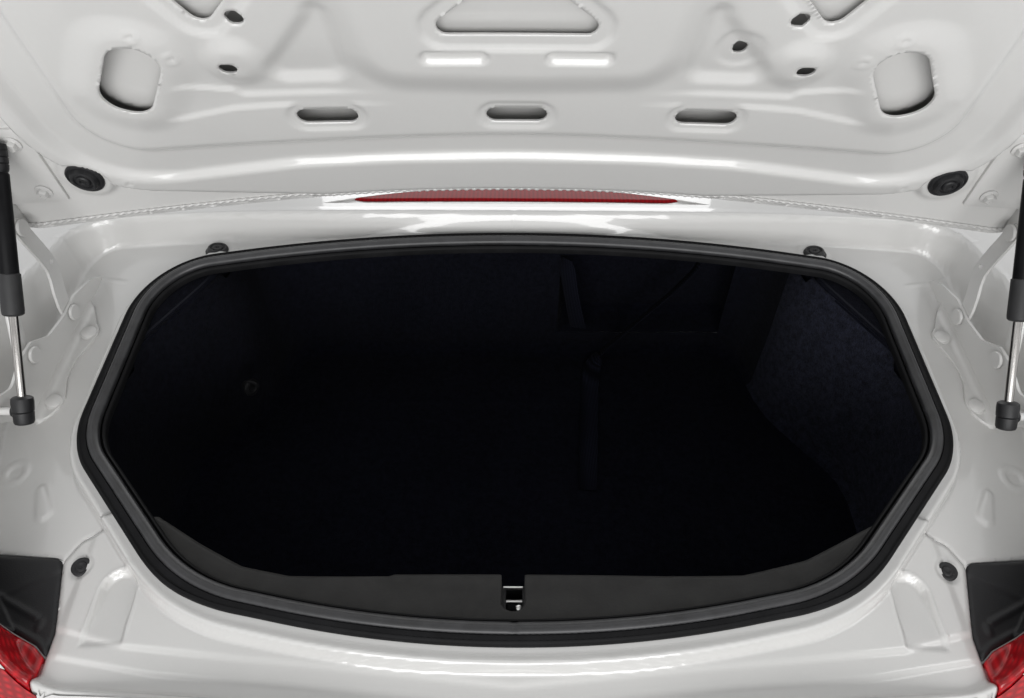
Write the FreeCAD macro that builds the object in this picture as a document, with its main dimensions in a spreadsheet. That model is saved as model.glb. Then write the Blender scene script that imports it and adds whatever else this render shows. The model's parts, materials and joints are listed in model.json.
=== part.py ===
import FreeCAD, Part
import math
import os
from functools import lru_cache
import Sketcher
from FreeCAD import Placement, Rotation, Vector

# Rear boot section of an open two-seat car, with its lid up on two four-bar hinges and two gas struts.
# X points to the car's right, Y to its front, Z up. The origin is the centre of the front joint face.

# Driving sizes in millimetres and degrees. Columns: name, value, what it is.
SIZES = [
    ("skin", 3.0, "thickness of the outer panels with their inner flange"),
    ("panel_gap", 0.8, "gap between fixed panels"),
    ("lid_gap", 4.5, "shut line round the lid"),
    ("fit_gap", 0.3, "gap where one piece seats on another"),
    ("front_plane", 0.0, "Y of the front joint face"),
    ("body_bottom", -70.0, "Z of the lower edge of the outer panels"),
    ("crown_top", 494.3, "highest point of the lid's outer surface"),
    ("crown_peak", -300.0, "Y of that highest point"),
    ("crown_length_radius", 1550.0, "curve of the top, front to rear"),
    ("crown_width_radius", 4500.0, "curve of the top, side to side"),
    ("shoulder_radius", 160.0, "round between top and sides"),
    ("shoulder_rise", 1.6, "height by which the shoulders' round passes the top"),
    ("body_width", 1470.0, "width inside which the shoulders are rounded"),
    ("deck_joint_x", 470.0, "X of the joint between deck and quarter panel"),
    ("gutter_joint_x", 400.0, "X of the joint between front and side gutter"),
    ("gutter_joint_y", -300.0, "Y behind which the side gutter reaches inward"),
    ("strip_half", 380.0, "half width of the bumper cover's strip behind the lid"),
    ("strip_front", -560.0, "Y from which that strip runs rearward"),
    ("seal_height", 470.0, "Z of the seal's top at the datum line, on the centre line"),
    ("seal_slope", 5.9, "angle by which the seal falls towards the rear"),
    ("seal_crown", 4530.0, "curve of the seal's top, side to side"),
    ("datum_line", -150.0, "Y at which seal and gutter heights are given"),
    ("gutter_height", 450.0, "Z of the gutter floor at the datum line"),
    ("gutter_slope", 6.6, "angle by which the gutter falls towards the rear"),
    ("gutter_crown", 3125.0, "curve of the gutter floor, side to side"),
    ("seal_stand", 14.0, "height of the seal on its ledge"),
    ("seal_width", 19.0, "width of the seal"),
    ("ledge_margin", 5.0, "ledge outside the seal"),
    ("well_floor", 190.0, "Z of the boot floor's carpet"),
    ("carpet", 5.0, "thickness of the carpet"),
    ("carpet_gap", 0.1, "gap between the carpet and the tub"),
    ("carpet_front_y", -150.0, "Y of the joint behind the front carpet"),
    ("carpet_rear_y", -520.0, "Y of the joint in front of the rear carpet"),
    ("tub_sheet", 3.0, "thickness of the tub and the body's inner sheets"),
    ("recess_depth", 45.0, "depth of the recess in the front wall"),
    ("recess_inner", 60.0, "X of the recess's inner end"),
    ("recess_outer", 320.0, "X of the recess's outer end"),
    ("recess_bottom", 232.0, "Z of the recess's lower edge"),
    ("recess_top", 376.0, "Z of the recess's upper edge"),
    ("arch_radius", 332.0, "radius of the wheel opening"),
    ("arch_centre_y", 30.0, "Y of the wheel's centre"),
    ("arch_centre_z", -90.0, "Z of the wheel's centre"),
    ("arch_lining", 30.0, "room left for the wheel arch's lining in the bulkhead"),
    ("lamp_start", -450.0, "Y in front of every part of the tail lamps"),
    ("lamp_wall", 5.0, "thickness of the lamp lens"),
    ("cup_wall", 3.0, "wall of the lamp's housing"),
    ("sill_half", 345.0, "half length of the sill's trim"),
    ("sill_slot", 13.0, "half width of the trim's slot for the latch"),
    ("sill_slot_front", -550.0, "Y of that slot's front"),
    ("sill_slot_rear", -590.0, "Y of that slot's rear"),
    ("sill_margin", 1.0, "gap between the sill's trim and the seal"),
    ("latch_half", 24.0, "half width of the latch"),
    ("latch_top", 380.0, "Z of the latch's top"),
    ("latch_height", 42.0, "height of the latch"),
    ("latch_wall", 2.5, "wall in front of the latch's mouth"),
    ("latch_play", 3.5, "gap round the striker in the latch"),
    ("latch_rear_play", 7.0, "gap behind the striker, which comes down in an arc"),
    ("striker_y", -568.0, "Y of the striker's middle, closed"),
    ("striker_low", 366.0, "Z of the striker's bar, closed"),
    ("striker_half", 8.0, "half spacing of the striker's legs"),
    ("striker_bar", 3.5, "half thickness of the striker's bar"),
    ("striker_plate", 3.5, "thickness of the striker's plate"),
    ("striker_plate_half", 20.0, "half width of the striker's plate"),
    ("striker_plate_reach", 9.0, "length of the striker's plate beyond its legs"),
    ("buffer_radius", 13.0, "radius of a deck buffer"),
    ("buffer_height", 24.0, "height of a deck buffer"),
    ("buffer_x", 364.0, "X of a deck buffer"),
    ("buffer_y", -144.0, "Y of a deck buffer"),
    ("stop_lamp_half", 236.0, "half length of the third stop lamp"),
    ("stop_lamp_rear", -114.0, "Y of the third stop lamp's rear edge"),
    ("stop_lamp_bow", 10.0, "bow of the third stop lamp's rear edge"),
    ("stop_lamp_width", 44.0, "width of the third stop lamp"),
    ("stop_lamp_depth", 12.0, "depth of the third stop lamp"),
    ("strap_width", 25.0, "width of a luggage strap"),
    ("strap_thick", 2.0, "thickness of a luggage strap"),
    ("strap_top", 374.0, "Z of the straps' upper ends"),
    ("cross_width", 900.0, "length of the cross member"),
    ("cross_height", 90.0, "height of the cross member"),
    ("cross_depth", 70.0, "depth of the cross member"),
    ("cross_wall", 4.0, "wall of the cross member"),
    ("bolt_spacing_x", 760.0, "spacing of the joint bolts across"),
    ("bolt_spacing_z", 56.0, "spacing of the joint bolts in height"),
    ("bolt_hole", 6.5, "radius of the joint bolt holes"),
    ("rail_width", 60.0, "width of a frame rail"),
    ("rail_offset", 350.0, "X of a frame rail's centre plane"),
    ("rail_height", 85.0, "height of a frame rail under the boot"),
    ("rail_wall", 3.0, "wall of a frame rail, a channel open at the top"),
    ("rail_rise", 95.0, "length in which a frame rail's top climbs to the boot"),
    ("rail_bend", 40.0, "bend of a frame rail where it climbs"),
    ("rear_panel_y", -622.0, "Y of the rear panel's front face"),
    ("rear_panel_half", 600.0, "half width of the rear panel"),
    ("rear_panel_low", -60.0, "Z of the rear panel's lower edge"),
    ("lid_turn", 76.1, "angle through which the lid opens"),
    ("lid_edge_open_y", -195.9, "Y of the lid's front edge, open"),
    ("lid_edge_open_z", 547.5, "Z of the lid's front edge, open"),
    ("lid_edge_closed_y", -126.2, "Y of the lid's front edge, closed"),
    ("lid_edge_closed_z", 484.5, "Z of the lid's front edge, closed"),
    ("front_pin_closed_y", -133.6, "Y of the front link's lid pin, closed"),
    ("front_pin_closed_z", 433.6, "Z of the front link's lid pin, closed"),
    ("rear_pin_closed_y", -172.0, "Y of the rear link's lid pin, closed"),
    ("rear_pin_closed_z", 436.1, "Z of the rear link's lid pin, closed"),
    ("front_pivot_z", 427.0, "Z of the front link's pivot on the body"),
    ("rear_pivot_z", 442.0, "Z of the rear link's pivot on the body"),
    ("strut_lid_closed_y", -224.6, "Y of the strut's lid stud, closed"),
    ("strut_lid_closed_z", 446.4, "Z of the strut's lid stud, closed"),
    ("strut_body_y", -402.3, "Y of the strut's body stud"),
    ("strut_body_z", 439.4, "Z of the strut's body stud"),
    ("hinge_plane", 508.0, "X of the middle of the hinge plates"),
    ("plate", 3.0, "thickness of hinge plates and links"),
    ("link_gap", 0.5, "gap between a link and the plate beside it"),
    ("link_half_width", 10.0, "half width of a hinge link"),
    ("pin_radius", 5.0, "radius of a hinge pin"),
    ("pin_clearance", 0.05, "radial clearance of a pin in its hole"),
    ("pin_head", 8.0, "radius of a pin's head"),
    ("head_height", 1.5, "height of a pin's head"),
    ("boss_radius", 10.5, "radius of a plate round its pin"),
    ("web_front", -215.0, "Y of the hinge base's upright plate at its foot, front"),
    ("web_rear", -345.0, "Y of the hinge base's upright plate at its foot, rear"),
    ("web_low", 380.0, "Z below every part of the hinge base's foot"),
    ("foot_margin", 6.0, "gap between the hinge base's foot and the wall round the lid"),
    ("bracket_inner", 452.0, "X of the lid bracket's inner edge"),
    ("bracket_front", -150.0, "Y of the lid bracket's flange, front"),
    ("bracket_rear", -238.0, "Y of the lid bracket's flange, rear"),
    ("bracket_gap", 0.2, "gap between the lid bracket and the lid's hem"),
    ("strut_plane", 476.0, "X of the strut's centre line"),
    ("tube_radius", 8.0, "radius of the strut's tube"),
    ("tube_start", 14.0, "distance from the lid stud to the start of the strut's tube"),
    ("tube_end", 150.0, "distance from the lid stud to the end of the strut's tube"),
    ("rod_radius", 3.9, "radius of the strut's rod"),
    ("rod_length", 150.0, "length of the strut's rod from its socket"),
    ("rod_room", 6.0, "depth of the tube's bore beyond its closed end"),
    ("neck_radius", 5.0, "radius of the strut's end fittings"),
    ("neck_length", 18.0, "length of the strut's end fittings"),
    ("socket_radius", 8.0, "radius of a strut's socket"),
    ("socket_half", 6.0, "half thickness of a strut's socket"),
    ("stud_radius", 4.0, "radius of a strut's stud"),
    ("lid_skin", 2.5, "thickness of the lid's outer skin with its hem"),
    ("lid_inner_sheet", 2.0, "thickness of the lid's inner panel"),
    ("lid_rest", 1.0, "gap between the seal and the closed lid"),
    ("lid_lift", 6.0, "gap between the lid's lower edge and the gutter"),
    ("hem_margin", 1.0, "inner panel's hem inside the skin's edge"),
    ("pan_margin", 4.0, "lid's inner pan outside the seal"),
    ("lid_stop_x", 426.0, "X of a rubber stop under the lid"),
    ("lid_stop_y", -175.0, "Y of a rubber stop under the lid, closed"),
    ("lid_stop_radius", 16.0, "radius of a rubber stop under the lid"),
    ("lid_stop_height", 14.0, "height of a rubber stop under the lid"),
]

# The boot's seal line seen from above, right half from front to rear. Columns: x, y, corner radius.
SEAL_LINE = [
    (0.0, -128.0, 2860.0),
    (436.0, -178.0, 90.0),
    (434.5, -424.0, 100.0),
    (287.0, -580.0, 190.0),
    (0.0, -642.0, 950.0),
]

# The hole for the lid seen from above, right half from front to rear. Columns: x, y, corner radius.
LID_LINE = [
    (0.0, -145.0, 3000.0),
    (538.0, -104.0, 45.0),
    (556.0, -340.0, 260.0),
    (505.0, -520.0, 200.0),
    (395.0, -640.0, 90.0),
    (0.0, -676.0, 1500.0),
]

# The boot well seen from above, right half from front to rear. Columns: x, y, corner radius.
WELL_LINE = [
    (335.0, -75.0, 55.0),
    (345.0, -185.0, 140.0),
    (428.0, -318.0, 130.0),
    (425.0, -418.0, 90.0),
    (280.0, -569.0, 180.0),
    (0.0, -630.0, 940.0),
]

# Plan of the outer body at several heights. Columns: z, rear y, half width, corner radius, rear curve.
BODY_LEVELS = [
    (-120.0, -676.0, 700.0, 300.0, 1900.0),
    (0.0, -718.0, 717.0, 300.0, 1850.0),
    (90.0, -741.0, 727.0, 300.0, 1800.0),
    (180.0, -751.0, 732.0, 300.0, 1770.0),
    (250.0, -744.0, 733.0, 300.0, 1750.0),
    (310.0, -719.0, 731.0, 300.0, 1730.0),
    (360.0, -690.0, 728.0, 300.0, 1715.0),
    (420.0, -660.0, 723.0, 300.0, 1690.0),
    (540.0, -622.0, 712.0, 300.0, 1600.0),
]

# Bumper cover seen from the side. Columns: y, z, corner radius.
BUMPER_LINE = [
    (-283.0, -140.0, 5.0),
    (-300.0, 40.0, 5.0),
    (-430.0, 266.0, 5.0),
    (-900.0, 266.0, 5.0),
    (-900.0, -140.0, 5.0),
]

# Tail lamp seen from behind, right side. Columns: x, z, corner radius.
LAMP_LINE = [
    (384.0, 386.0, 14.0),
    (560.0, 392.0, 60.0),
    (672.0, 356.0, 30.0),
    (656.0, 288.0, 30.0),
    (480.0, 268.0, 60.0),
    (392.0, 300.0, 24.0),
]

# Room of the lamp's housing from above: a slanting wall in front of it. Columns: x, y, corner radius.
CUP_LINE = [
    (352.0, -640.0, 2.0),
    (704.0, -420.0, 2.0),
    (1000.0, -420.0, 2.0),
    (1000.0, -1000.0, 2.0),
    (352.0, -1000.0, 2.0),
]

# Black filler between the lid's corner and the tail lamp, from above. Columns: x, y, corner radius.
FILLER_LINE = [
    (391.0, -690.0, 4.0),
    (391.0, -578.0, 30.0),
    (411.0, -525.0, 10.0),
    (560.0, -506.0, 10.0),
    (620.0, -690.0, 10.0),
]

# Body's shelf behind the seal, right half from front to rear. Columns: x, y, corner radius.
SHELF_LINE = [
    (0.0, -540.0, 40.0),
    (280.0, -500.0, 6.0),
    (350.0, -484.0, 6.0),
    (389.0, -514.0, 10.0),
    (389.0, -700.0, 4.0),
]

# Cross section of the sill's trim. Columns: y, z.
SILL_LINE = [
    (-606.0, 409.0),
    (-550.0, 387.0),
    (-546.0, 380.0),
    (-546.0, 340.0),
    (-549.0, 340.0),
    (-549.0, 378.0),
    (-552.0, 383.5),
    (-606.0, 405.0),
]

# Foot of the hinge base on the gutter, right side from above. Columns: x, y, corner radius.
FOOT_LINE = [
    (512.0, -170.0, 5.0),
    (503.0, -176.0, 4.0),
    (493.0, -230.0, 12.0),
    (477.0, -266.0, 9.0),
    (494.0, -306.0, 14.0),
    (492.0, -335.0, 10.0),
    (482.0, -366.0, 6.0),
    (493.0, -375.0, 5.0),
    (540.0, -366.0, 10.0),
    (552.0, -330.0, 14.0),
    (548.0, -262.0, 20.0),
    (520.0, -236.0, 14.0),
]

# Slots pressed through the lid's inner panel, in its closed place. Columns: x, y, length, width.
LID_SLOTS = [
    (-167.0, -259.0, 54.0, 17.0),
    (0.0, -259.0, 54.0, 17.0),
    (167.0, -259.0, 54.0, 17.0),
    (-50.0, -330.0, 53.0, 11.0),
    (50.0, -330.0, 53.0, 11.0),
    (-212.0, -365.0, 15.0, 10.0),
    (212.0, -365.0, 15.0, 10.0),
    (-232.0, -319.0, 15.0, 10.0),
    (232.0, -319.0, 15.0, 10.0),
]

# Larger holes of the lid's inner panel, from above in its closed place. Columns: x, y, corner radius.
MIDDLE_HOLE = [(-76.0, -351.0, 8.0), (76.0, -351.0, 8.0), (24.0, -394.0, 8.0), (-24.0, -394.0, 8.0)]
SIDE_HOLE = [(315.0, -270.0, 18.0), (352.0, -287.0, 18.0), (315.0, -345.0, 18.0), (271.0, -341.0, 18.0)]
REAR_HOLE = [(238.0, -356.0, 10.0), (292.0, -446.0, 14.0), (150.0, -446.0, 14.0)]

# Luggage straps on the front wall. Columns: x and z at one end, x and z at the other.
SHORT_STRAP = (68.0, 374.0, 92.0, 242.0)
LONG_STRAP_TOP = (250.0, 118.0)
LONG_STRAP_END = (92.0, -330.0)

SIDES = (("left", -1.0), ("right", 1.0))
FAR = 1200.0
LOW = -300.0
HIGH = 900.0

doc = FreeCAD.newDocument("boot_section")
sheet = doc.addObject("Spreadsheet::Sheet", "sizes")
for row, (name, value, note) in enumerate(SIZES, start=1):
    sheet.set("A%d" % row, name)
    sheet.set("B%d" % row, repr(value))
    sheet.set("C%d" % row, note)
    sheet.setAlias("B%d" % row, name)
doc.recompute()
sub_parts = []


class Sizes:
    """Driving sizes, read by name from the spreadsheet."""

    def __getattr__(self, name):
        return float(sheet.get(name))


size = Sizes()


def keep(item, label):
    """Name a finished sub-part and put it on the list of files to write."""
    item.Label = label
    sub_parts.append(item)
    return item


def keep_shape(label, shape, placement=None):
    """A sub-part whose surfaces come from Part's own functions."""
    item = doc.addObject("Part::Feature", label)
    item.Shape = shape.removeSplitter()
    if placement is not None:
        item.Placement = placement
    return keep(item, label)


def whole_loop(half):
    """Both halves of a loop that is the same left and right."""
    return half + [(-x, y, radius) for x, y, radius in reversed(half) if x > 0]


def on_side(corners, side):
    """A loop of the right side, or its mirror image."""
    return [(side * x, y, radius) for x, y, radius in corners]


def rounded_loop(corners, lift):
    """Closed wire of straight runs joined by tangent arcs; lift turns a 2-D point into a place."""
    bends = []
    for index, (x, y, radius) in enumerate(corners):
        here = Vector(x, y, 0)
        ahead_corner = corners[(index + 1) % len(corners)]
        back = (Vector(corners[index - 1][0], corners[index - 1][1], 0) - here).normalize()
        ahead = (Vector(ahead_corner[0], ahead_corner[1], 0) - here).normalize()
        half_angle = back.getAngle(ahead) / 2
        inward = (back + ahead).normalize()
        reach = radius / math.tan(half_angle)
        middle = here + inward * (radius / math.sin(half_angle) - radius)
        bends.append((here + back * reach, middle, here + ahead * reach))
    edges = []
    for index, (start, middle, end) in enumerate(bends):
        following = bends[(index + 1) % len(bends)][0]
        edges.append(Part.Arc(lift(start), lift(middle), lift(end)).toShape())
        edges.append(Part.LineSegment(lift(end), lift(following)).toShape())
    return Part.Wire(edges)


def seen_from_above(point):
    return Vector(point.x, point.y, 0)


def seen_from_behind(point):
    return Vector(point.x, 0, point.y)


def seen_from_side(point):
    return Vector(0, point.x, point.y)


def grown_face(loop, grow):
    """Flat face inside a loop that is grown outward or inward."""
    face = Part.Face(loop)
    return face.makeOffset2D(grow) if grow else face


def upright(loop, grow=0.0, low=LOW, high=HIGH):
    """Prism on a plan loop."""
    face = grown_face(loop, grow)
    face.translate(Vector(0, 0, low))
    return face.extrude(Vector(0, 0, high - low))


def along_x(loop, start, end, grow=0.0):
    """Prism of a side-view loop between two values of X."""
    face = grown_face(loop, grow)
    face.translate(Vector(start, 0, 0))
    return face.extrude(Vector(end - start, 0, 0))


def block(x0, x1, y0, y1, z0, z1):
    """Box between two corners, given in any order."""
    spans = (abs(x1 - x0), abs(y1 - y0), abs(z1 - z0))
    return Part.makeBox(*spans, Vector(min(x0, x1), min(y0, y1), min(z0, z1)))


def tower(x0, x1, y0, y1):
    """Box of the full height between two corners of the plan."""
    return block(x0, x1, y0, y1, LOW, HIGH)


def disc(centre, radius, start, end):
    """Round bar along X round a point of the side view."""
    foot = Vector(min(start, end), centre.y, centre.z)
    return Part.makeCylinder(radius, abs(end - start), foot, Vector(1, 0, 0))


def crown_wire(half, apex, crown, shoulder, floor, place, open_to=None):
    """Section with rounded shoulders under a crowned top, or open above; place(u, v) sets its plane."""
    centre = apex - crown
    shoulder_u = half - shoulder
    shoulder_v = centre + math.sqrt((crown - shoulder) ** 2 - shoulder_u ** 2)
    reach = crown / (crown - shoulder)
    touch_u = shoulder_u * reach
    touch_v = centre + (shoulder_v - centre) * reach
    turn = math.atan2(touch_v - shoulder_v, touch_u - shoulder_u) / 2
    middle_u = shoulder_u + shoulder * math.cos(turn)
    middle_v = shoulder_v + shoulder * math.sin(turn)
    edges = [
        Part.LineSegment(place(-half, floor), place(half, floor)).toShape(),
        Part.LineSegment(place(half, floor), place(half, shoulder_v)).toShape(),
        Part.Arc(place(half, shoulder_v), place(middle_u, middle_v), place(touch_u, touch_v)).toShape(),
    ]
    if open_to is None:
        edges.append(Part.Arc(place(touch_u, touch_v), place(0, apex), place(-touch_u, touch_v)).toShape())
    else:
        edges += [
            Part.LineSegment(place(touch_u, touch_v), place(touch_u, open_to)).toShape(),
            Part.LineSegment(place(touch_u, open_to), place(-touch_u, open_to)).toShape(),
            Part.LineSegment(place(-touch_u, open_to), place(-touch_u, touch_v)).toShape(),
        ]
    edges += [
        Part.Arc(place(-touch_u, touch_v), place(-middle_u, middle_v), place(-half, shoulder_v)).toShape(),
        Part.LineSegment(place(-half, shoulder_v), place(-half, floor)).toShape(),
    ]
    return Part.Wire(edges)


def turned_both_ways(face, foot, axis, angle):
    """Solid that a face sweeps when it turns from one side of its place to the other."""
    face.rotate(foot, axis, -angle)
    return face.revolve(foot, axis, 2 * angle)


def crown_form(inset):
    """Solid under the top: its lengthwise arc turned about a far axis that runs front to rear."""
    radius = size.crown_length_radius - inset
    centre = Vector(0, size.crown_peak, size.crown_top - size.crown_length_radius)
    span = math.asin(FAR / 2 / radius) + math.radians(8)
    front, top, rear = [
        centre + Vector(0, radius * math.sin(turn), radius * math.cos(turn)) for turn in (span, 0, -span)
    ]
    front_low, rear_low = Vector(0, front.y, LOW), Vector(0, rear.y, LOW)
    edges = [Part.Arc(front, top, rear).toShape()]
    for start, end in ((rear, rear_low), (rear_low, front_low), (front_low, front)):
        edges.append(Part.LineSegment(start, end).toShape())
    foot = Vector(0, 0, size.crown_top - size.crown_width_radius)
    sweep = math.degrees(math.asin(size.body_width / 2 / size.crown_width_radius)) + 3
    return turned_both_ways(Part.Face(Part.Wire(edges)), foot, Vector(0, 1, 0), sweep)


def shoulder_form(inset):
    """Solid between the rounded shoulders, open above."""
    wire = crown_wire(
        size.body_width / 2 - inset,
        size.crown_top + size.shoulder_rise - inset,
        size.crown_width_radius - inset,
        size.shoulder_radius - inset,
        LOW,
        lambda u, v: Vector(u, size.crown_peak, v),
        HIGH,
    )
    foot = Vector(0, size.crown_peak, size.crown_top - size.crown_length_radius)
    return turned_both_ways(Part.Face(wire), foot, Vector(1, 0, 0), 40.0)


def plan_form(inset):
    """Sides, rear corners and bumper of the body: straight walls between plan outlines."""
    wires = []
    for z, rear, half, corner, bow in BODY_LEVELS:
        wires.append(crown_wire(
            half - inset, -rear - inset, bow - inset, corner - inset, -size.front_plane - 80.0,
            lambda u, v, z=z: Vector(u, -v, z),
        ))
    return Part.makeLoft(wires, True, True)


@lru_cache(maxsize=None)
def body_form(inset):
    """Whole outer body, drawn in by an inset."""
    rear_half = block(-FAR, FAR, size.front_plane, -FAR, size.body_bottom, HIGH)
    return crown_form(inset).common(shoulder_form(inset)).common(plan_form(inset)).common(rear_half)


def sloping_form(height, slope, crown, drop):
    """Solid under a wide cylinder that falls towards the rear."""
    half = FAR / 2 + 100
    radius = crown - drop
    front = FAR / 4
    side = height - crown + math.sqrt(radius ** 2 - half ** 2)
    left, right = Vector(-half, front, side), Vector(half, front, side)
    left_low, right_low = Vector(-half, front, -FAR), Vector(half, front, -FAR)
    edges = [Part.Arc(left, Vector(0, front, height - drop), right).toShape()]
    for start, end in ((right, right_low), (right_low, left_low), (left_low, left)):
        edges.append(Part.LineSegment(start, end).toShape())
    solid = Part.Face(Part.Wire(edges)).extrude(Vector(0, -FAR - front, 0))
    solid.rotate(Vector(0, size.datum_line, height), Vector(1, 0, 0), slope)
    return solid


@lru_cache(maxsize=None)
def seal_form(drop):
    """Solid under the seal's top surface, lowered by a drop."""
    return sloping_form(size.seal_height, size.seal_slope, size.seal_crown, drop)


@lru_cache(maxsize=None)
def gutter_form(drop):
    """Solid under the gutter's floor, lowered by a drop."""
    return sloping_form(size.gutter_height, size.gutter_slope, size.gutter_crown, drop)


seal_loop = rounded_loop(whole_loop(SEAL_LINE), seen_from_above)
lid_loop = rounded_loop(whole_loop(LID_LINE), seen_from_above)
well_loop = rounded_loop(whole_loop(WELL_LINE), seen_from_above)
shelf_loop = rounded_loop(whole_loop(SHELF_LINE), seen_from_above)


def shelf_form(drop):
    """Surface under the lid: the gutter and the ledge that carries the seal."""
    ledge = seal_form(size.seal_stand + drop).common(upright(seal_loop, size.ledge_margin - drop))
    return gutter_form(drop).fuse(ledge)


@lru_cache(maxsize=None)
def structure_form(inset):
    """Body with the hole for the lid, the gutter and the seal ledge, drawn in by an inset."""
    hole = upright(lid_loop, inset)
    outer = body_form(inset)
    return outer.cut(hole).fuse(outer.common(hole).common(shelf_form(inset)))


def opening_prism(grow):
    """The boot's opening inside the seal."""
    return upright(seal_loop, grow - size.seal_width)


def wheel_space(grow):
    """Round room of the wheels, right across the body."""
    foot = Vector(-FAR, size.arch_centre_y, size.arch_centre_z)
    return Part.makeCylinder(size.arch_radius + grow, 2 * FAR, foot, Vector(1, 0, 0))


def place_of_lid():
    """Placement that lifts the lid from its closed place, in which it is drawn, to its open one."""
    turn = Rotation(Vector(1, 0, 0), -size.lid_turn)
    closed = Vector(0, size.lid_edge_closed_y, size.lid_edge_closed_z)
    opened = Vector(0, size.lid_edge_open_y, size.lid_edge_open_z)
    return Placement(opened - turn.multVec(closed), turn)


lid_place = place_of_lid()


def body_pivot(closed, height):
    """Pivot at a given height that is as far from a lid pin open as closed."""
    opened = lid_place.multVec(closed)
    middle = (closed + opened) * 0.5
    step = opened - closed
    return Vector(0, middle.y - (height - middle.z) * step.z / step.y, height)


front_pin_closed = Vector(0, size.front_pin_closed_y, size.front_pin_closed_z)
rear_pin_closed = Vector(0, size.rear_pin_closed_y, size.rear_pin_closed_z)
strut_lid_closed = Vector(0, size.strut_lid_closed_y, size.strut_lid_closed_z)
front_pivot = body_pivot(front_pin_closed, size.front_pivot_z)
rear_pivot = body_pivot(rear_pin_closed, size.rear_pivot_z)
strut_body = Vector(0, size.strut_body_y, size.strut_body_z)


def lamp_face(side):
    """Outline of a tail lamp seen from behind."""
    return Part.Face(rounded_loop(on_side(LAMP_LINE, side), seen_from_behind))


def lamp_prism(side, grow):
    """Room of a tail lamp, open to the rear."""
    shape = lamp_face(side)
    if grow:
        shape = shape.makeOffset2D(grow)
    shape.translate(Vector(0, size.lamp_start, 0))
    return shape.extrude(Vector(0, -FAR, 0))


def filler_space(side, grow):
    """Plan area of the black filler."""
    return upright(rounded_loop(on_side(FILLER_LINE, side), seen_from_above), grow)


def bumper_space(grow):
    """Room of the bumper cover and of its strip behind the lid."""
    half = size.strip_half + grow
    strip = tower(-half, half, size.strip_front + grow, -FAR)
    return along_x(rounded_loop(BUMPER_LINE, seen_from_side), -FAR, FAR, grow).fuse(strip)


def panel_shell():
    """The pressed outer shell: its part under the lid and its part outside."""
    shell = structure_form(0.0).cut(structure_form(size.skin)).cut(opening_prism(0.0))
    shell = shell.cut(block(-FAR, FAR, FAR, -FAR, -FAR, size.body_bottom + size.fit_gap))
    shell = shell.cut(wheel_space(0.0))
    hole = upright(lid_loop, size.skin)
    outside = shell.cut(hole).cut(upright(stop_lamp_loop()))
    for name, side in SIDES:
        outside = outside.cut(lamp_prism(side, 0.0))
    return shell.common(hole), outside


def make_outer_panels():
    """Deck, quarter panels, gutters, fillers and bumper: one pressed shell, split where the panels meet."""
    gap = size.panel_gap / 2
    inside, outside = panel_shell()
    joint_x, joint_y = size.gutter_joint_x, size.gutter_joint_y
    deck = size.deck_joint_x
    keep_shape("gutter_front", inside.common(tower(gap - joint_x, joint_x - gap, FAR, joint_y)))
    keep_shape("deck_panel", outside.common(tower(gap - deck, deck - gap, FAR, joint_y)))
    shelf = inside.common(upright(shelf_loop, -gap))
    keep_shape("bumper_cover", outside.common(bumper_space(-gap)).fuse(shelf))
    for name, side in SIDES:
        keep_shape("lamp_filler_" + name, inside.common(filler_space(side, -gap)))
        room = tower(side * (joint_x + gap), side * FAR, FAR, -FAR)
        room = room.fuse(tower(side * joint_x * 0.6, side * FAR, joint_y, -FAR))
        room = room.cut(filler_space(side, gap)).cut(upright(shelf_loop, gap))
        keep_shape("gutter_" + name, inside.common(room))
        room = tower(side * (deck + gap), side * FAR, FAR, -FAR)
        room = room.fuse(tower(side * size.strip_half, side * FAR, size.strip_front, -FAR))
        keep_shape("quarter_panel_" + name, outside.common(room).cut(bumper_space(gap)))
        make_tail_lamp(name, side)


def make_tail_lamp(name, side):
    """Lens flush with the body and a cup with a slanting back behind it."""
    gap = size.panel_gap
    wall = size.cup_wall
    seat = body_form(size.lamp_wall + size.fit_gap)
    lens = body_form(0.0).common(lamp_prism(side, -gap)).cut(body_form(size.lamp_wall))
    keep_shape("tail_lens_" + name, lens.cut(upright(lid_loop, size.skin + gap)))
    room = rounded_loop(on_side(CUP_LINE, side), seen_from_above)
    cup = seat.common(lamp_prism(side, -gap)).common(upright(room))
    cup = cup.common(structure_form(size.skin + size.fit_gap))
    hollow = seat.common(lamp_prism(side, -gap - wall)).common(upright(room, -wall))
    hollow = hollow.common(structure_form(size.skin + size.fit_gap + wall))
    keep_shape("lamp_housing_" + name, cup.cut(hollow))


def make_seal():
    """Seal round the opening, on its ledge."""
    ring = upright(seal_loop).cut(opening_prism(size.fit_gap))
    keep_shape("boot_seal", seal_form(0.0).cut(seal_form(size.seal_stand)).common(ring))


def recess(grow):
    """Recess in the right of the front wall."""
    wall = WELL_LINE[0][1]
    return block(
        size.recess_inner - grow, size.recess_outer + grow,
        wall - 1, wall + size.recess_depth + grow,
        size.recess_bottom - grow, size.recess_top + grow,
    )


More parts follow.
